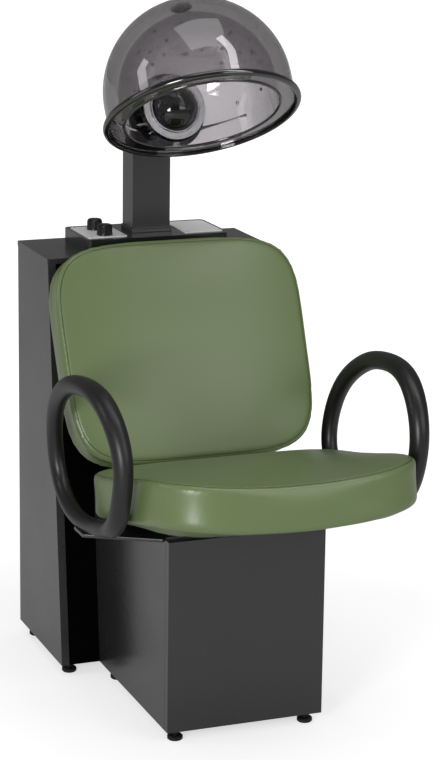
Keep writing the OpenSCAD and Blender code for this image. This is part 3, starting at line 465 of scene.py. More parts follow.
FINISHES: dict[str, Finish] = {finish.name: finish for finish in (
    Finish("laminate", (37, 37, 38), rough=(0.24, 0.32), coat=0.5, coat_rough=0.18, drift=0.1),
    Finish("black_laminate", (3, 3, 3), rough=(0.5, 0.6), specular=0.02),
    Finish("foot_plastic", (14, 14, 15), rough=(0.35, 0.45)),
    Finish("switch_plastic", (30, 30, 31), rough=(0.4, 0.5)),
    Finish("zinc_steel", (186, 188, 190), rough=(0.25, 0.35), surface=Surface.METAL),
    Finish("console_plastic", (18, 18, 19), rough=(0.16, 0.24), coat=0.5, coat_rough=0.05),
    Finish(
        "brushed_plate", (212, 212, 213), rough=(0.28, 0.36),
        grain_scale=900.0, grain_depth=0.03, grain_stretch=0.04, pebbles=0.0,
    ),
    Finish("knob_plastic", (12, 12, 13), rough=(0.28, 0.36)),
    Finish("black_metal", (43, 43, 44), rough=(0.3, 0.36), coat=0.35, coat_rough=0.2, drift=0.1),
    Finish("cast_black", (16, 16, 17), rough=(0.5, 0.6), grain_scale=500.0, grain_depth=0.1),
    Finish("motor_steel", (120, 121, 123), rough=(0.35, 0.45), surface=Surface.METAL),
    Finish("fan_aluminium", (196, 197, 199), rough=(0.3, 0.4), surface=Surface.METAL),
    Finish("heater_steel", (120, 112, 106), rough=(0.4, 0.5), surface=Surface.METAL),
    # Both clear plastics turn to painted shade at their silhouettes.
    Finish(
        "smoked_plastic", (186, 183, 185), rough=(0.0, 0.01), surface=Surface.CLEAR, ior=1.5,
        painted_edge_shade=(12, 12, 12), shadow_share=0.6,
    ),
    Finish("rim_rubber", (8, 8, 9), rough=(0.1, 0.16), coat=0.6, coat_rough=0.05, ior=1.7),
    Finish(
        "clear_plastic", (238, 236, 238), rough=(0.0, 0.02), surface=Surface.CLEAR, ior=1.49,
        painted_edge_shade=(20, 20, 21), edge_blend=0.2, shadow_share=0.9,
    ),
    # Painted shade for the dark edges of the liner's air holes.
    Finish("painted_hole_shade", (20, 20, 21), rough=(0.2, 0.3)),
    Finish("chrome", (150, 151, 153), rough=(0.12, 0.18), surface=Surface.METAL),
    Finish("ball_plastic", (3, 3, 3), rough=(0.02, 0.04), ior=1.6),
    Finish("black_wood", (10, 10, 11), rough=(0.5, 0.6), grain_scale=300.0, grain_depth=0.08),
    # The vinyl carries painted shade along its seams.
    Finish(
        "green_vinyl", (92, 108, 68), rough=(0.34, 0.4), coat=0.3, coat_rough=0.3, cloud_scale=5.0,
        grain_scale=700.0, grain_depth=0.05, seam=True, drift=0.03,
    ),
    Finish(
        "arm_urethane", (17, 17, 18), rough=(0.38, 0.46), grain_scale=500.0, grain_depth=0.04, coat=0.15,
        coat_rough=0.3,
    ),
    Finish("thread", (52, 64, 40), rough=(0.6, 0.7)),
)}


class CadDressing:
    """Finishes for the CAD solids that stay as they are, with their edges softened."""

    edge_mm: dict[str, float] = {
        "laminate": 0.8, "black_laminate": 0.6, "console_plastic": 0.8, "black_metal": 1.0,
    }
    plain_edge_mm: float = 0.25
    bare: set[str] = {"smoked_plastic", "clear_plastic"}

    def __init__(self, nodes: dict[str, Object], record: dict) -> None:
        """Keeps the nodes and which slot each of them takes its finish from."""
        self.nodes = nodes
        self.slots = {s["node"]: s["material_slot"] for s in record["subparts"]}

    def dress(self) -> None:
        """Gives every node its finish, merged points, smooth shading and a small round on sharp edges."""
        for name, node in self.nodes.items():
            slot = self.slots[name]
            painted(node, slot)
            node.modifiers.new("merge", "WELD").merge_threshold = MERGE_MM * MM
            if slot not in self.bare:
                edge = node.modifiers.new("edge", "BEVEL")
                edge.width = self.edge_mm.get(slot, self.plain_edge_mm) * MM
                edge.segments = 2
                edge.limit_method = "ANGLE"
                edge.angle_limit = SHARP_ANGLE
            node.modifiers.new("crisp", "EDGE_SPLIT").split_angle = SHARP_ANGLE
            node.modifiers.new("flat", "WEIGHTED_NORMAL").keep_sharp = True
        log.info("dressed %d CAD nodes", len(self.nodes))


@dataclass
class LoopArm:
    """One loop arm: a moulded tube swept along a closed path.

    Each row of the path is the share along the loop, its height, its outward bow, and the half-width and
    half-thickness shares.
    """

    side: Side
    length: float = 396.0
    height: float = 277.0
    front_y: float = -318.0
    root_x: float = 273.0
    root_z: float = 403.0
    bow: float = 33.0
    width: float = 34.0
    thick: float = 38.0
    steps: int = 12
    sides: int = 40
    cap_steps: int = 8
    path: tuple[tuple[float, ...], ...] = (
        (0.12, 0.18, 0.16, 1.10, 1.00), (0.03, 0.41, 0.25, 1.00, 1.00), (0.00, 0.70, 0.25, 1.06, 1.00),
        (0.20, 1.00, 0.60, 1.22, 0.92), (0.52, 0.97, 0.70, 1.10, 0.92), (0.69, 0.90, 0.75, 1.00, 0.94),
        (0.91, 0.70, 0.55, 0.92, 0.96), (1.00, 0.38, 0.25, 0.90, 0.94), (0.95, 0.12, 0.05, 0.90, 0.92),
        (0.76, 0.00, 0.10, 0.92, 0.84), (0.52, 0.01, 0.00, 0.96, 0.72), (0.29, 0.09, 0.02, 0.98, 0.86),
    )
    lead: float = 0.42
    tuck: float = 0.3
    slim: float = 0.84
    ease: float = 0.45
    ease_reach: float = 2.5
    ease_samples: int = 21
    slim_from: float = 1.3
    slim_over: float = 0.6
    cap_tip: float = 0.0004

    def at(self, place: Array) -> Array:
        """The closed cubic through the keys, at places counted in keys.

        With t the share of the span from key b to key c, and a and d the keys on either side, the point is
        b + t(c-a)/2 + t^2(2a-5b+4c-d)/2 + t^3(3b-3c+d-a)/2.
        """
        rows = np.array(self.path)
        keys = np.stack([
            self.root_x + rows[:, 2] * self.bow, self.front_y + rows[:, 0] * self.length,
            self.root_z + rows[:, 1] * self.height, rows[:, 3] * self.width / 2, rows[:, 4] * self.thick / 2,
        ], axis=-1)
        first = np.floor(place).astype(int)
        t = (place - first)[:, None]
        a, b, c, d = (keys[(first + k) % len(keys)] for k in (-1, 0, 1, 2))
        square, cube = 2 * a - 5 * b + 4 * c - d, 3 * b - 3 * c + d - a
        return b + t * (c - a) / 2 + t**2 * square / 2 + t**3 * cube / 2

    def centre_line(self) -> Array:
        """Points along the tube with their half-width and half-thickness, in millimetres.

        Each point is the mean of its neighbourhood, weighted by exp of minus half of (shift / ease) squared,
        which rounds the corners that the keys leave. The tube starts with a full round end before the first
        key, goes round once, slims down by t squared times (3 - 2t) near the last key and is tucked into its
        own start, as the moulded loop's front leg overlaps its foot.
        """
        count = len(self.path)
        place = np.linspace(-self.lead, count - self.lead + self.tuck, (count + 1) * self.steps)
        shift = np.linspace(-self.ease_reach, self.ease_reach, self.ease_samples) * self.ease
        weight = np.exp(-0.5 * (shift / self.ease) ** 2)
        line = self.at((place[:, None] + shift).ravel()).reshape(len(place), len(shift), 5)
        line = (line * (weight / weight.sum())[:, None]).sum(axis=1)
        late = np.clip((place - (count - self.slim_from)) / self.slim_over, 0, 1)[:, None]
        line[:, 3:] *= 1 - (1 - self.slim) * late**2 * (3 - 2 * late)
        return line

    def rings(self) -> Array:
        """Rings round the centre line, closed by half-round ends."""
        line = self.centre_line()
        along = unit(np.gradient(line[:, :3], axis=0))
        side = unit(ACROSS - along * along[:, :1])
        up = np.cross(along, side)
        angle = circle(self.sides)[None, :, None]
        reach = np.sin(np.linspace(0, np.pi / 2, self.cap_steps + 1))[:0:-1, None, None]
        size = np.sqrt(np.maximum(1 - reach**2, self.cap_tip))
        parts = []
        for end, sign in ((0, -1), (-1, 1)):
            out = sign * reach * along[end] * line[end, 3]
            cap = line[end, :3] + out + size * (
                side[end] * np.cos(angle) * line[end, 3] + up[end] * np.sin(angle) * line[end, 4]
            )
            parts.append(cap if sign < 0 else cap[::-1])
        body = (
            line[:, None, :3]
            + side[:, None] * np.cos(angle) * line[:, None, 3:4]
            + up[:, None] * np.sin(angle) * line[:, None, 4:5]
        )
        rings = np.concatenate([parts[0], body, parts[1]])
        rings[..., 0] *= self.side.value
        return rings

    def build(self) -> Object:
        """Builds and dresses the arm in place of its CAD node."""
        name = f"arm_{self.side.name.lower()}"
        points, faces = closed_rings(self.rings() * MM)
        piece = make_piece(f"loop_{name}", points, faces)
        painted(piece, "arm_urethane")
        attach(piece, "chair")
        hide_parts(name)
        return piece


@dataclass
class Cushion:
    """A boxed cushion: a flat back with a pocket for its board, a drawn-in band and a crowned face.

    It is built from rings. A ring is the outline drawn in by an inset, scaled by a share and raised to a
    height, in a frame with x across, p along the face and w out of the face.
    """

    name: str
    node: str
    thick: float
    crown: float
    roll: float
    waist: float
    origin: Array
    axis_p: Array
    axis_w: Array
    board: float = 12.0
    gap: float = 0.3
    pocket: float = 41.0
    pocket_shares: tuple[float, ...] = (0.3, 0.65, 0.9, 1.0)
    under_shares: tuple[float, ...] = (0.3, 0.7)
    columns: int = 240
    roll_steps: int = 8
    band_steps: int = 9
    face_steps: int = 22
    seam_angle: float = 30.0
    inset_span: tuple[float, float] = (-40.0, 120.0)
    halvings: int = 26
    voxel: float = 6.0
    swell: float = 6.0
    swell_frames: int = 20
    held_below: float = 2.0
    freed_over: float = 14.0
    seam_hold: float = 0.9
    seam_hold_width: float = 5.0
    board_hold: tuple[float, float] = (6.0, 8.0)
    hold_levels: int = 10
    pinch: float = 1.0
    pinch_width: float = 3.0
    start: float = 1.5
    crown_power: float = 2.2
    stitch_pitch: float = 6.0
    stitch: float = 4.4
    stitch_rings: int = 7
    stitch_sides: int = 6
    stitch_tip: float = 0.02
    stitch_dip: float = 0.5
    near_seam: float = 9.0
    skin_blend: float = 2.0
    thread: float = 0.55
    thread_rise: float = 0.25

    def outline(self, angle: Array, inset: float) -> Array:
        """The outline at these angles, drawn in by inset: x and p."""
        raise NotImplementedError

    def fullness(self, x: Array, p: Array, inset: Array) -> Array:
        """Below one inside the outline drawn in by inset, and above one outside it."""
        raise NotImplementedError

    def lift(self, x: Array, p: Array) -> Array:
        """How far the face is raised over a place."""
        return np.zeros_like(x)

    def ring(self, inset: float, height: float, share: float = 1.0, lifted: float = 1.0) -> Array:
        """One ring of points in the cushion's own frame."""
        x, p = (self.outline(circle(self.columns), inset) * share).T
        return np.stack([x, p, height + lifted * self.lift(x, p)], axis=-1)

    def rolled(self, angle: float) -> tuple[float, float]:
        """How far in and how far up the rounded edge lies at this angle."""
        return self.roll * (1 - math.sin(angle)), self.roll * (1 - math.cos(angle))

    def rings(self, inset: float = 0.0) -> Array:
        """Rings from the pocket round the band to the middle of the face."""
        floor = self.board + self.gap
        rows = [self.ring(self.pocket, floor, share, 0.0) for share in self.pocket_shares]
        rows += [self.ring(self.pocket, h, 1.0, 0.0) for h in (floor / 2, 0.0)]
        reach = self.pocket - self.roll
        rows += [self.ring(self.pocket - reach * s, 0.0, 1.0, s) for s in self.under_shares]
        turn = np.linspace(0, np.pi / 2, self.roll_steps + 1)
        for drawn, up in map(self.rolled, turn):
            rows.append(self.ring(inset + drawn, up))
        for s in np.linspace(0, 1, self.band_steps)[1:-1]:
            height = self.roll + (self.thick - 2 * self.roll) * s
            rows.append(self.ring(inset + self.waist * math.sin(math.pi * s), height))
        for drawn, up in map(self.rolled, turn[::-1]):
            rows.append(self.ring(inset + drawn, self.thick - up))
        for s in np.linspace(1, 0, self.face_steps)[1:-1]:
            rows.append(self.ring(inset + self.roll, self.thick + self.crown * (1 - s**self.crown_power), s))
        return np.array(rows)

    def world(self, own: Array) -> Array:
        """Points of the cushion's own frame, in the room."""
        return self.origin + own[..., :1] * ACROSS + own[..., 1:2] * self.axis_p + own[..., 2:] * self.axis_w

    def own(self, room: Array) -> Array:
        """Points of the room, in the cushion's own frame."""
        moved = room - self.origin
        return np.stack([moved[..., 0], moved @ self.axis_p, moved @ self.axis_w], axis=-1)

    def inset_at(self, own: Array) -> Array:
        """How far inside the outline each point lies, found by halving the range again and again."""
        low, high = (np.full(len(own), end) for end in self.inset_span)
        for _ in range(self.halvings):
            middle = (low + high) / 2
            outside = self.fullness(own[:, 0], own[:, 1], middle) > 1
            high = np.where(outside, middle, high)
            low = np.where(outside, low, middle)
        return (low + high) / 2

    def seam_distance(self, own: Array) -> Array:
        """Signed distance to the seam in millimetres, along the profile and positive towards the face."""
        a = math.radians(self.seam_angle)
        drawn, up = self.rolled(a)
        from_seam = self.inset_at(own) - drawn
        above = own[:, 2] - self.lift(own[:, 0], own[:, 1]) - (self.thick - up)
        return from_seam * math.cos(a) + above * math.sin(a)

    def seam_path(self) -> tuple[Array, Array]:
        """The seam's points in the cushion's own frame, and the way out of the surface there."""
        a = math.radians(self.seam_angle)
        drawn, up = self.rolled(a)
        ring = self.ring(drawn, self.thick - up)
        along = unit(np.roll(ring, -1, axis=0) - np.roll(ring, 1, axis=0))
        flat = unit(np.cross(along, UP))
        if float((flat * ring).sum()) < 0:
            flat = -flat
        return ring, unit(flat * math.sin(a) + UP * math.cos(a))

    def remeshed(self, piece: Object) -> None:
        """Replaces the mesh by an even one of small squares."""
        remesh = piece.modifiers.new("even", "REMESH")
        remesh.mode = "VOXEL"
        remesh.voxel_size = self.voxel * MM
        remesh.use_smooth_shade = True
        applied(piece)

    def inflate(self, piece: Object) -> None:
        """Lets the cover swell under pressure, held at the seam and round the board.

        How free a point is grows with its height over the back, times one less a share of exp of minus
        (distance to the seam / width) squared.
        """
        before = vertex_array(piece.data)
        own = self.own(before / MM)
        near_seam = np.exp(-((self.seam_distance(own) / self.seam_hold_width) ** 2))
        free = np.clip((own[:, 2] - self.held_below) / self.freed_over, 0, 1)
        free *= 1 - self.seam_hold * near_seam
        inside, over = self.board_hold
        by_board = (self.inset_at(own) > self.roll + inside) & (own[:, 2] < self.board + over)
        free = np.where(by_board, 0.0, free)
        held = piece.vertex_groups.new(name="held")
        levels = np.round((1 - free) * self.hold_levels) / self.hold_levels
        for level in np.unique(levels[levels > 0]):
            held.add([int(k) for k in np.flatnonzero(levels == level)], float(level), "REPLACE")
        cloth = piece.modifiers.new("cover", "CLOTH")
        for key, value in CLOTH.items():
            setattr(cloth.settings, key, value)
        cloth.settings.effector_weights.gravity = 0
        cloth.collision_settings.use_collision = False
        cloth.point_cache.frame_start = 1
        cloth.point_cache.frame_end = self.swell_frames
        scene = bpy.context.scene
        for step in range(1, self.swell_frames + 1):
            scene.frame_set(step)
        applied(piece)
        scene.frame_set(1)
        move = vertex_array(piece.data) - before
        length = np.linalg.norm(move, axis=1, keepdims=True)
        move *= np.minimum(1, self.swell * MM / np.maximum(length, 1e-9)) * free[:, None]
        piece.data.vertices.foreach_set("co", (before + move).astype(np.float32).ravel())
        log.info("%s swelled by up to %.1f mm", self.name, float(np.linalg.norm(move, axis=1).max() / MM))

    def sewn(self, piece: Object) -> None:
        """Draws the cover in along the seam, and keeps the distance to it on the mesh for the finish.

        A point moves against its normal by the pinch times exp of minus (distance / width) squared.
        """
        points = vertex_array(piece.data)
        distance = self.seam_distance(self.own(points / MM))
        pinch = self.pinch * MM * np.exp(-((distance / self.pinch_width) ** 2))
        points -= read(piece.data.vertices, "normal", 3) * pinch[:, None]
        piece.data.vertices.foreach_set("co", points.astype(np.float32).ravel())
        kept = piece.data.attributes.new("seam_mm", "FLOAT", "POINT")
        kept.data.foreach_set("value", distance.astype(np.float32))
        piece.data.update()

    def stitches(self, cover: Object) -> Object:
        """Thread stitches on the seam: short rounded bars laid along it on the cover.

        The cover's surface at a stitch is the mean of the points near it, each weighted by exp of minus
        (its distance beyond the nearest one's / blend). A bar is as thick as the root of 1 - s squared, with
        s running from -1 to 1 along it, and its ends dip by s squared.
        """
        ring, out = self.seam_path()
        steps = np.linalg.norm(np.diff(ring, axis=0, append=ring[:1]), axis=1)
        length = np.concatenate([[0], np.cumsum(steps)])
        count = int(length[-1] / self.stitch_pitch)
        at = (np.arange(count) + 0.5) * length[-1] / count
        place, lean = (
            np.stack([np.interp(at, length, np.append(line[:, k], line[0, k])) for k in range(3)], axis=-1)
            for line in (ring, out)
        )
        along = unit(np.roll(place, -1, axis=0) - np.roll(place, 1, axis=0))
        room = self.world(place)
        way, run = (self.world(vectors) - self.world(np.zeros(3)) for vectors in (unit(lean), along))
        skin = vertex_array(cover.data) / MM
        skin = skin[np.abs(self.seam_distance(self.own(skin))) < self.near_seam]
        gaps = np.linalg.norm(room[:, None] - skin[None], axis=2)
        weight = np.exp(-((gaps - gaps.min(axis=1, keepdims=True)) / self.skin_blend))
        surface = (weight[..., None] * skin[None]).sum(axis=1) / weight.sum(axis=1)[:, None]
        room = room + way * ((surface - room) * way).sum(axis=1, keepdims=True)
        across = np.cross(run, way)
        s = np.linspace(-1, 1, self.stitch_rings)
        thick = np.sqrt(np.maximum(1 - s**2, self.stitch_tip)) * self.thread
        rise = self.thread * self.thread_rise - self.stitch_dip * s**2
        angle = circle(self.stitch_sides)
        rings = (
            room[:, None, None] + run[:, None, None] * (s * self.stitch / 2)[None, :, None, None]
            + way[:, None, None] * (rise[:, None] + thick[:, None] * np.cos(angle))[None, :, :, None]
            + across[:, None, None] * (thick[:, None] * np.sin(angle))[None, :, :, None]
        )
        points = rings.reshape(-1, 3)
        first = np.arange(self.stitch_sides)
        ends = np.stack([first[::-1], first + (self.stitch_rings - 1) * self.stitch_sides])
        offsets = np.arange(count)[:, None, None] * self.stitch_rings * self.stitch_sides
        parts = (ring_faces(self.stitch_rings, self.stitch_sides), ends)
        faces = [(part[None] + offsets).reshape(-1, part.shape[1]) for part in parts]
        piece = make_piece(f"{self.name}_stitches", points * MM, outward(points, faces))
        painted(piece, "thread")
        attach(piece, "chair")
        return piece

    def build(self) -> list[Object]:
        """Builds the cover and its stitches in place of the CAD node."""
        own = self.rings(self.start)
        points, faces = closed_rings(self.world(own) * MM)
        cover = make_piece(self.name, points, faces)
        self.remeshed(cover)
        self.inflate(cover)
        self.sewn(cover)
        painted(cover, "green_vinyl")
        fine = cover.modifiers.new("fine", "SUBSURF")
        fine.levels = fine.render_levels = 1
        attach(cover, "chair")
        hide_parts(self.node)
        return [cover, self.stitches(cover)]


@dataclass
class SeatCushion(Cushion):
    """The seat: a rounded square whose corners rise towards the front."""

    width: float = 512.0
    depth: float = 475.0
    front: float = 219.0
    front_power: float = 3.8
    rear_power: float = 6.4
    dish: float = 24.0
    blend: float = 60.0

    def outline(self, angle: Array, inset: float) -> Array:
        """Front half and rear half are rounded squares of their own power."""
        ahead = np.sin(angle) > 0
        power = np.where(ahead, self.front_power, self.rear_power)
        reach = np.where(ahead, self.front, self.depth - self.front)
        x = signed_power(np.cos(angle), 2 / power) * (self.width / 2 - inset)
        return np.stack([x, -signed_power(np.sin(angle), 2 / power) * (reach - inset)], axis=-1)

    def fullness(self, x: Array, p: Array, inset: Array) -> Array:
        """The sum of the two shares, each to the half's power."""
        power = np.where(p < 0, self.front_power, self.rear_power)
        reach = np.where(p < 0, self.front, self.depth - self.front)
        return np.abs(x / (self.width / 2 - inset)) ** power + np.abs(p / (reach - inset)) ** power

    def lift(self, x: Array, p: Array) -> Array:
        """dish times (2x / width) squared, fading towards the rear."""
        return self.dish * (2 * x / self.width) ** 2 / (1 + np.exp(p / self.blend))


@dataclass
class BackCushion(Cushion):
    """The back: a rounded square that widens upwards."""

    top_width: float = 500.0
    bottom_width: float = 486.0
    tall: float = 428.0
    power: float = 4.8

    def half_width(self, p: Array) -> Array:
        """Half the width at a height on the face."""
        mean, flare = self.top_width + self.bottom_width, self.top_width - self.bottom_width
        return mean / 4 + flare / 4 * (2 * p / self.tall)

    def outline(self, angle: Array, inset: float) -> Array:
        """A rounded square of the given power, wider at the top."""
        p = signed_power(np.sin(angle), 2 / self.power) * (self.tall / 2 - inset)
        x = signed_power(np.cos(angle), 2 / self.power) * (self.half_width(p) - inset)
        return np.stack([x, p], axis=-1)

    def fullness(self, x: Array, p: Array, inset: Array) -> Array:
        """The sum of the two shares, each to the power."""
        across = np.abs(x / (self.half_width(p) - inset)) ** self.power
        return across + np.abs(p / (self.tall / 2 - inset)) ** self.power


def tilted(degrees: float) -> tuple[Array, Array]:
    """The y and z axes after a turn about x by minus the angle."""
    a = math.radians(degrees)
    return np.array([0, math.cos(a), -math.sin(a)]), np.array([0, math.sin(a), math.cos(a)])


def seat_cushion() -> SeatCushion:
    """The seat in its place on the wedge rails."""
    pitch, front_y, to_middle, board, under_z = 10, -472, 219, 12, 438.0
    along, up = tilted(pitch)
    y = front_y + to_middle * along[1] + board * along[2]
    return SeatCushion(
        "seat_cover", "seat_cushion", thick=84, crown=14, roll=12, waist=1,
        origin=np.array([0, y, under_z]), axis_p=along, axis_w=up, start=0.5,
    )


def back_cushion() -> BackCushion:
    """The back in its place on the brackets: its face looks along minus the tilted y axis."""
    recline, face_y, face_z, thick = 24, 118.0, 664.0, 66
    rearward, up = tilted(recline)
    return BackCushion(
        "back_cover", "back_cushion", thick=thick, crown=16, roll=10, waist=3,
        origin=np.array([0, face_y, face_z]) + thick * rearward, axis_p=up, axis_w=-rearward, start=-2.5,
    )


@dataclass
class Hood:
    """The smoked dome: two walls over the drying space, with a hole for the blower."""

    centre: tuple[float, float, float] = (0.0, 83.0, 1160.0)
    tilt: float = 32.0
    blower_turn: float = 78.0
    radius: float = 176.0
    wall: float = 3.0
    skirt: float = 46.0
    skirt_rows: int = 6
    hole: float = 57.0
    columns: int = 160
    rows: int = 80
    liner_inner: float = 145.5
    liner_middle: float = 146.75
    long_face: float = 8.0
    wall_apart: float = 0.5
    over_waist: float = 1.0
    air_rows: tuple[float, ...] = (6.0, 22.0, 38.0, 54.0)
    air_holes: int = 14
    air_keepout: float = 38.0
    keepout_row: int = 2
    rim_radius: float = 2.7
    rim_bead: float = 0.6
    rim_inset: float = 0.2
    rim_steps: int = 12
    rim_sides: int = 6

    def room(self, own: Array) -> Array:
        """Points of the dome's own frame in millimetres, in the room in metres."""
        axes, centre = self.axes()
        return (own.reshape(-1, 3) @ axes.T + centre) * MM

    def axes(self) -> tuple[Array, Array]:
        """Columns of the dome's own axes in the room, and its centre."""
        y, z = tilted(self.tilt)
        return np.stack([ACROSS, y, z], axis=1), np.array(self.centre)

    def wall_rings(self, radius: float, low: float) -> Array:
        """Rings from the blower's hole to the mouth on a ball of this radius, then down its skirt.

        Each column is the great circle from a point of the hole's edge to the point of the ball's waist at
        the same angle: sin((1-t)g)/sin g of the first plus sin(tg)/sin g of the second, g being the angle
        between them.
        """
        angle = circle(self.columns)
        turn = math.radians(self.blower_turn)
        axis = np.array([0, math.sin(turn), math.cos(turn)])
        up = np.cross(ACROSS, axis)
        spread = math.asin(self.hole / radius)
        edge = (
            math.cos(spread) * axis
            + math.sin(spread) * (np.cos(angle)[:, None] * ACROSS - np.sin(angle)[:, None] * up)
        )
        waist = np.stack([np.cos(angle), np.sin(angle), np.zeros_like(angle)], axis=-1)
        between = np.arccos(np.clip((edge * waist).sum(axis=1), -1, 1))[:, None]
        t = np.linspace(0, 1, self.rows)[:, None, None]
        ball = (np.sin((1 - t) * between) * edge + np.sin(t * between) * waist) / np.sin(between) * radius
        drop = np.linspace(0, low, self.skirt_rows + 1)[1:, None, None]
        skirt = waist * radius - drop * UP
        return np.concatenate([ball, skirt])

    def shell(self) -> Object:
        """The outer shell as one closed wall, in place of its CAD node."""
        outer = self.wall_rings(self.radius, self.skirt)
        inner = self.wall_rings(self.radius - self.wall, self.skirt)[::-1]
        rings = np.concatenate([outer, inner])
        points = self.room(rings)
        faces = looped_faces(len(rings), self.columns)
        piece = make_piece("smoked_shell", points, outward(points, [faces]))
        painted(piece, "smoked_plastic")
        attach(piece, "hood")
        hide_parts("outer_shell")
        return piece

    @staticmethod
    def spread(values: Array, starts: Array) -> Array:
        """The largest less the smallest value of each run that begins at these starts."""
        return np.maximum.reduceat(values, starts) - np.minimum.reduceat(values, starts)

    def liner(self) -> Object:
        """The clear liner: a merged copy of its CAD node, shaded as a true ball, its air holes' edges
        darkened with painted shade.

        Above the waist a point's shading normal is its direction from the centre, and below it the
        direction from the axis, turned inwards on the inner wall. Faces more than the sharp angle off it
        keep their own, apart from long ones above the waist and long ones with all corners on one wall.
        """
        node = frame["nodes"]["inner_liner"]
        piece = bpy.data.objects.new("liner_wall", node.data.copy())
        bpy.context.scene.collection.objects.link(piece)
        piece.modifiers.new("merge", "WELD").merge_threshold = MERGE_MM * MM
        applied(piece)
        mesh = piece.data
        painted(piece, "clear_plastic", "painted_hole_shade")
        axes, centre = self.axes()
        own = (vertex_array(mesh) / MM - centre) @ axes
        own[:, 2] = np.maximum(own[:, 2], 0.0)
        radial = unit(own) @ axes.T
        flat = read(mesh.polygons, "normal", 3)
        counts = read(mesh.polygons, "loop_total", kind=np.int32)
        vertex = read(mesh.loops, "vertex_index", kind=np.int32)
        face = np.repeat(np.arange(len(counts)), counts)
        starts = np.cumsum(counts) - counts
        lean = (radial[vertex] * flat[face]).sum(axis=1)
        steady = np.minimum.reduceat(np.abs(lean), starts) > math.cos(SHARP_ANGLE)
        place = own[vertex]
        from_centre = np.linalg.norm(place, axis=1)
        long = np.linalg.norm(self.spread(place, starts), axis=1) > self.long_face
        one_wall = self.spread(from_centre, starts) < self.wall_apart
        above = np.minimum.reduceat(place[:, 2], starts) > self.over_waist
        curved = steady | (long & (one_wall | above))
        way = np.where(from_centre > self.liner_middle, 1.0, -1.0)
        normals = np.where(curved[face][:, None], radial[vertex] * way[:, None], flat[face])
        mesh.normals_split_custom_set(normals.tolist())
        # The air holes' bores, off the curve above the waist, take the second finish: painted shade.
        mesh.polygons.foreach_set("material_index", (~curved & above).astype(np.int32))
        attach(piece, "hood")
        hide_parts("inner_liner")
        return piece

    def hole_rims(self) -> Object:
        """A fine moulded rim round each air hole, on the liner's inner wall, coloured with painted shade to
        darken the hole's edge.

        A hole at the angle f round the hood and the height angle e looks along
        (-sin f cos e, cos f cos e, sin e). Its rim is a ring of small circles about that way.
        """
        pitch = 2 * np.pi / self.air_holes
        row, number = np.meshgrid(np.arange(len(self.air_rows)), np.arange(self.air_holes), indexing="ij")
        row, number = row.ravel(), number.ravel()
        turn = (number + 0.5 * row) * pitch
        rise = np.radians(np.array(self.air_rows)[row])
        kept = (np.cos(turn) < math.cos(math.radians(self.air_keepout))) | (row > self.keepout_row)
        turn, rise = turn[kept], rise[kept]
        way = np.stack([-np.sin(turn) * np.cos(rise), np.cos(turn) * np.cos(rise), np.sin(rise)], axis=-1)
        side = np.stack([np.cos(turn), np.sin(turn), np.zeros_like(turn)], axis=-1)
        up = np.cross(way, side)
        round_way = circle(self.rim_steps)[:, None]
        across = circle(self.rim_sides)[:, None]
        out = side[:, None] * np.cos(round_way) + up[:, None] * np.sin(round_way)
        points = (
            way[:, None, None] * (self.liner_inner - self.rim_inset - self.rim_bead * np.sin(across))
            + out[:, :, None] * (self.rim_radius + self.rim_bead * np.cos(across))
        )
        one = looped_faces(self.rim_steps, self.rim_sides)[:, [0, 3, 2, 1]]
        faces = one[None] + np.arange(len(way))[:, None, None] * self.rim_steps * self.rim_sides
        room = self.room(points)
        piece = make_piece("air_hole_shade_rims", room, outward(room, [faces.reshape(-1, 4)]))
        painted(piece, "painted_hole_shade")
        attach(piece, "hood")
        return piece

    def build(self) -> list[Object]:
        """Builds what the hood needs beyond its CAD nodes."""
        return [self.shell(), self.liner(), self.hole_rims()]


@dataclass(frozen=True)
class Lamp:
    """A soft area light aimed at a point."""

    name: str
    place: tuple[float, float, float]
    aim: tuple[float, float, float]
    size: float
    power: float
    tall: float = 1.0

    def build(self) -> None:
        """Adds the light."""
        data = bpy.data.lights.new(self.name, "AREA")
        data.shape = "RECTANGLE"
        data.size = self.size
        data.size_y = self.size * self.tall
        data.energy = self.power
        lamp = bpy.data.objects.new(self.name, data)
        back = unit(np.array(self.place) - np.array(self.aim))
        right = unit(np.cross(UP, back))
        lamp.matrix_world = facing(right, np.cross(back, right), back, self.place)
        bpy.context.scene.collection.objects.link(lamp)


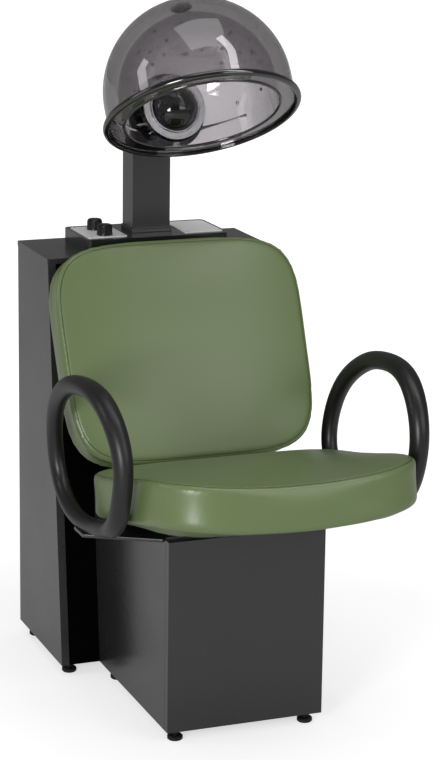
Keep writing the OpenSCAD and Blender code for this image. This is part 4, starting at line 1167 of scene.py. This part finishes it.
@dataclass
class Studio:
    """Camera, pale floor and soft lights."""

    azimuth: float = -21.03
    elevation: float = 13.15
    roll: float = 0.65
    distance: float = 4.4034
    target: tuple[float, float, float] = (-0.0145, 0.0378, 0.7032)
    focal_px: float = 2347.8
    middle_px: tuple[float, float] = (196.5, 337.9)
    size_px: tuple[int, int] = (440, 760)
    sky: float = 1.0
    fill: float = 0.5
    gloss_fill: float = 0.16
    layers: int = 32
    floor_reach: float = 40.0
    # The floor's weak glow to rays other than the camera's, which lights the chair from below.
    floor_glow_elsewhere: float = 0.1
    floor_span: tuple[float, float] = (0.7, 2.5)
    floor_glow: tuple[float, float] = (0.62, 0.9)
    lamps: list[Lamp] = field(default_factory=lambda: [
        Lamp("key", (-2.4, -2.6, 1.25), (0.0, 0.0, 0.6), 0.9, 66.0, 1.3),
        Lamp("front", (1.6, -3.2, 2.2), (0.0, 0.0, 0.6), 2.2, 34.0),
        Lamp("ceiling", (0.0, -0.3, 3.3), (0.0, 0.0, 0.6), 1.6, 13.0),
        Lamp("left_window", (-2.3, 0.4, 1.9), (0.0, 0.1, 1.1), 0.4, 6.0, 3.0),
        Lamp("top_window", (0.85, -1.0, 2.9), (0.0, 0.1, 1.1), 0.35, 10.0, 3.6),
    ])

    def camera(self) -> None:
        """Places the camera from its azimuth, elevation, roll and distance."""
        a, e, r = (math.radians(v) for v in (self.azimuth, self.elevation, self.roll))
        back = np.array([math.sin(a) * math.cos(e), -math.cos(a) * math.cos(e), math.sin(e)])
        right = np.array([math.cos(a), math.sin(a), 0])
        up = np.cross(back, right)
        x = math.cos(r) * right + math.sin(r) * up
        y = -math.sin(r) * right + math.cos(r) * up
        place = np.array(self.target) + back * self.distance
        data = bpy.data.cameras.new("photo_camera")
        data.sensor_fit = "AUTO"
        data.sensor_width = SENSOR_MM
        data.lens = self.focal_px * SENSOR_MM / max(self.size_px)
        data.shift_x = (self.size_px[0] / 2 - self.middle_px[0]) / max(self.size_px)
        data.shift_y = (self.middle_px[1] - self.size_px[1] / 2) / max(self.size_px)
        data.clip_end = 100
        camera = bpy.data.objects.new("photo_camera", data)
        camera.matrix_world = facing(x, y, back, place)
        bpy.context.scene.collection.objects.link(camera)
        bpy.context.scene.camera = camera

    @staticmethod
    def seen(sheet: Sheet, path: Node) -> tuple[Node, int]:
        """An output that is 1 for rays straight from the camera or through clear plastic, else 0."""
        rays = {0: (path, "Is Camera Ray"), 1: (path, "Is Transmission Ray")}
        return sheet.add("ShaderNodeMath", rays, operation="MAXIMUM"), 0

    def floor(self) -> None:
        """A white floor far wider than the view. It glows to the camera and through clear plastic, brighter
        far off than near the chair, and glows weakly to all other rays, which lights the chair a little from
        below.
        """
        corners = np.array([[-1, -1, 0], [1, -1, 0], [1, 1, 0], [-1, 1, 0]]) * self.floor_reach
        floor = make_piece("floor", corners, [np.array([[0, 1, 2, 3]])], smooth=False)
        paint = Finish("floor_paint", (188, 188, 188), rough=(0.8, 0.9), specular=0.0, drift=0.0).material()
        sheet = Sheet(paint.node_tree)
        shader = next(n for n in paint.node_tree.nodes if n.type == "BSDF_PRINCIPLED")
        place = sheet.add("ShaderNodeTexCoord")
        away = sheet.add("ShaderNodeVectorMath", {0: (place, "Object")}, operation="LENGTH")
        near, far = self.floor_span
        dim, bright = self.floor_glow
        spread = sheet.add("ShaderNodeMapRange", {
            "Value": (away, "Value"), "From Min": near, "From Max": far, "To Min": dim, "To Max": bright,
        })
        path = sheet.add("ShaderNodeLightPath")
        glow = sheet.add("ShaderNodeMapRange", {
            "Value": self.seen(sheet, path), "To Min": self.floor_glow_elsewhere, "To Max": (spread, "Result"),
        })
        sheet.feed(shader, {"Emission Color": WHITE, "Emission Strength": (glow, "Result")})
        floor.data.materials.append(paint)

    def world(self) -> None:
        """A surround that the camera sees white and that lights the chair softly."""
        world = bpy.data.worlds.new("surround")
        world.use_nodes = True
        sheet = Sheet(world.node_tree)
        path = sheet.add("ShaderNodeLightPath")
        around = sheet.add("ShaderNodeMapRange", {
            "Value": (path, "Is Glossy Ray"), "To Min": self.fill, "To Max": self.gloss_fill,
        })
        level = sheet.add("ShaderNodeMapRange", {
            "Value": self.seen(sheet, path), "To Min": (around, "Result"), "To Max": self.sky,
        })
        ground = world.node_tree.nodes["Background"]
        sheet.feed(ground, {"Color": WHITE, "Strength": (level, "Result")})
        bpy.context.scene.world = world

    def build(self) -> None:
        """Sets up everything that isn't the chair."""
        self.camera()
        self.floor()
        self.world()
        for lamp in self.lamps:
            lamp.build()
        cycles = bpy.context.scene.cycles
        cycles.transparent_max_bounces = self.layers
        cycles.max_bounces = self.layers
        cycles.transmission_bounces = self.layers
        bpy.context.scene.view_settings.view_transform = "Standard"


def main() -> None:
    """Builds the chair's looks in order and reports each piece."""
    logging.basicConfig(level=logging.INFO, format="%(name)s: %(message)s", stream=sys.stdout)
    CadDressing(frame["nodes"], frame["record"]).dress()
    pieces = [LoopArm(Side.LEFT).build(), LoopArm(Side.RIGHT).build()]
    pieces += seat_cushion().build()
    pieces += back_cushion().build()
    pieces += Hood().build()
    for piece in pieces:
        log.info("%s: %d faces", piece.name, len(piece.data.polygons))
    Studio().build()


if __name__ == "__main__":
    main()
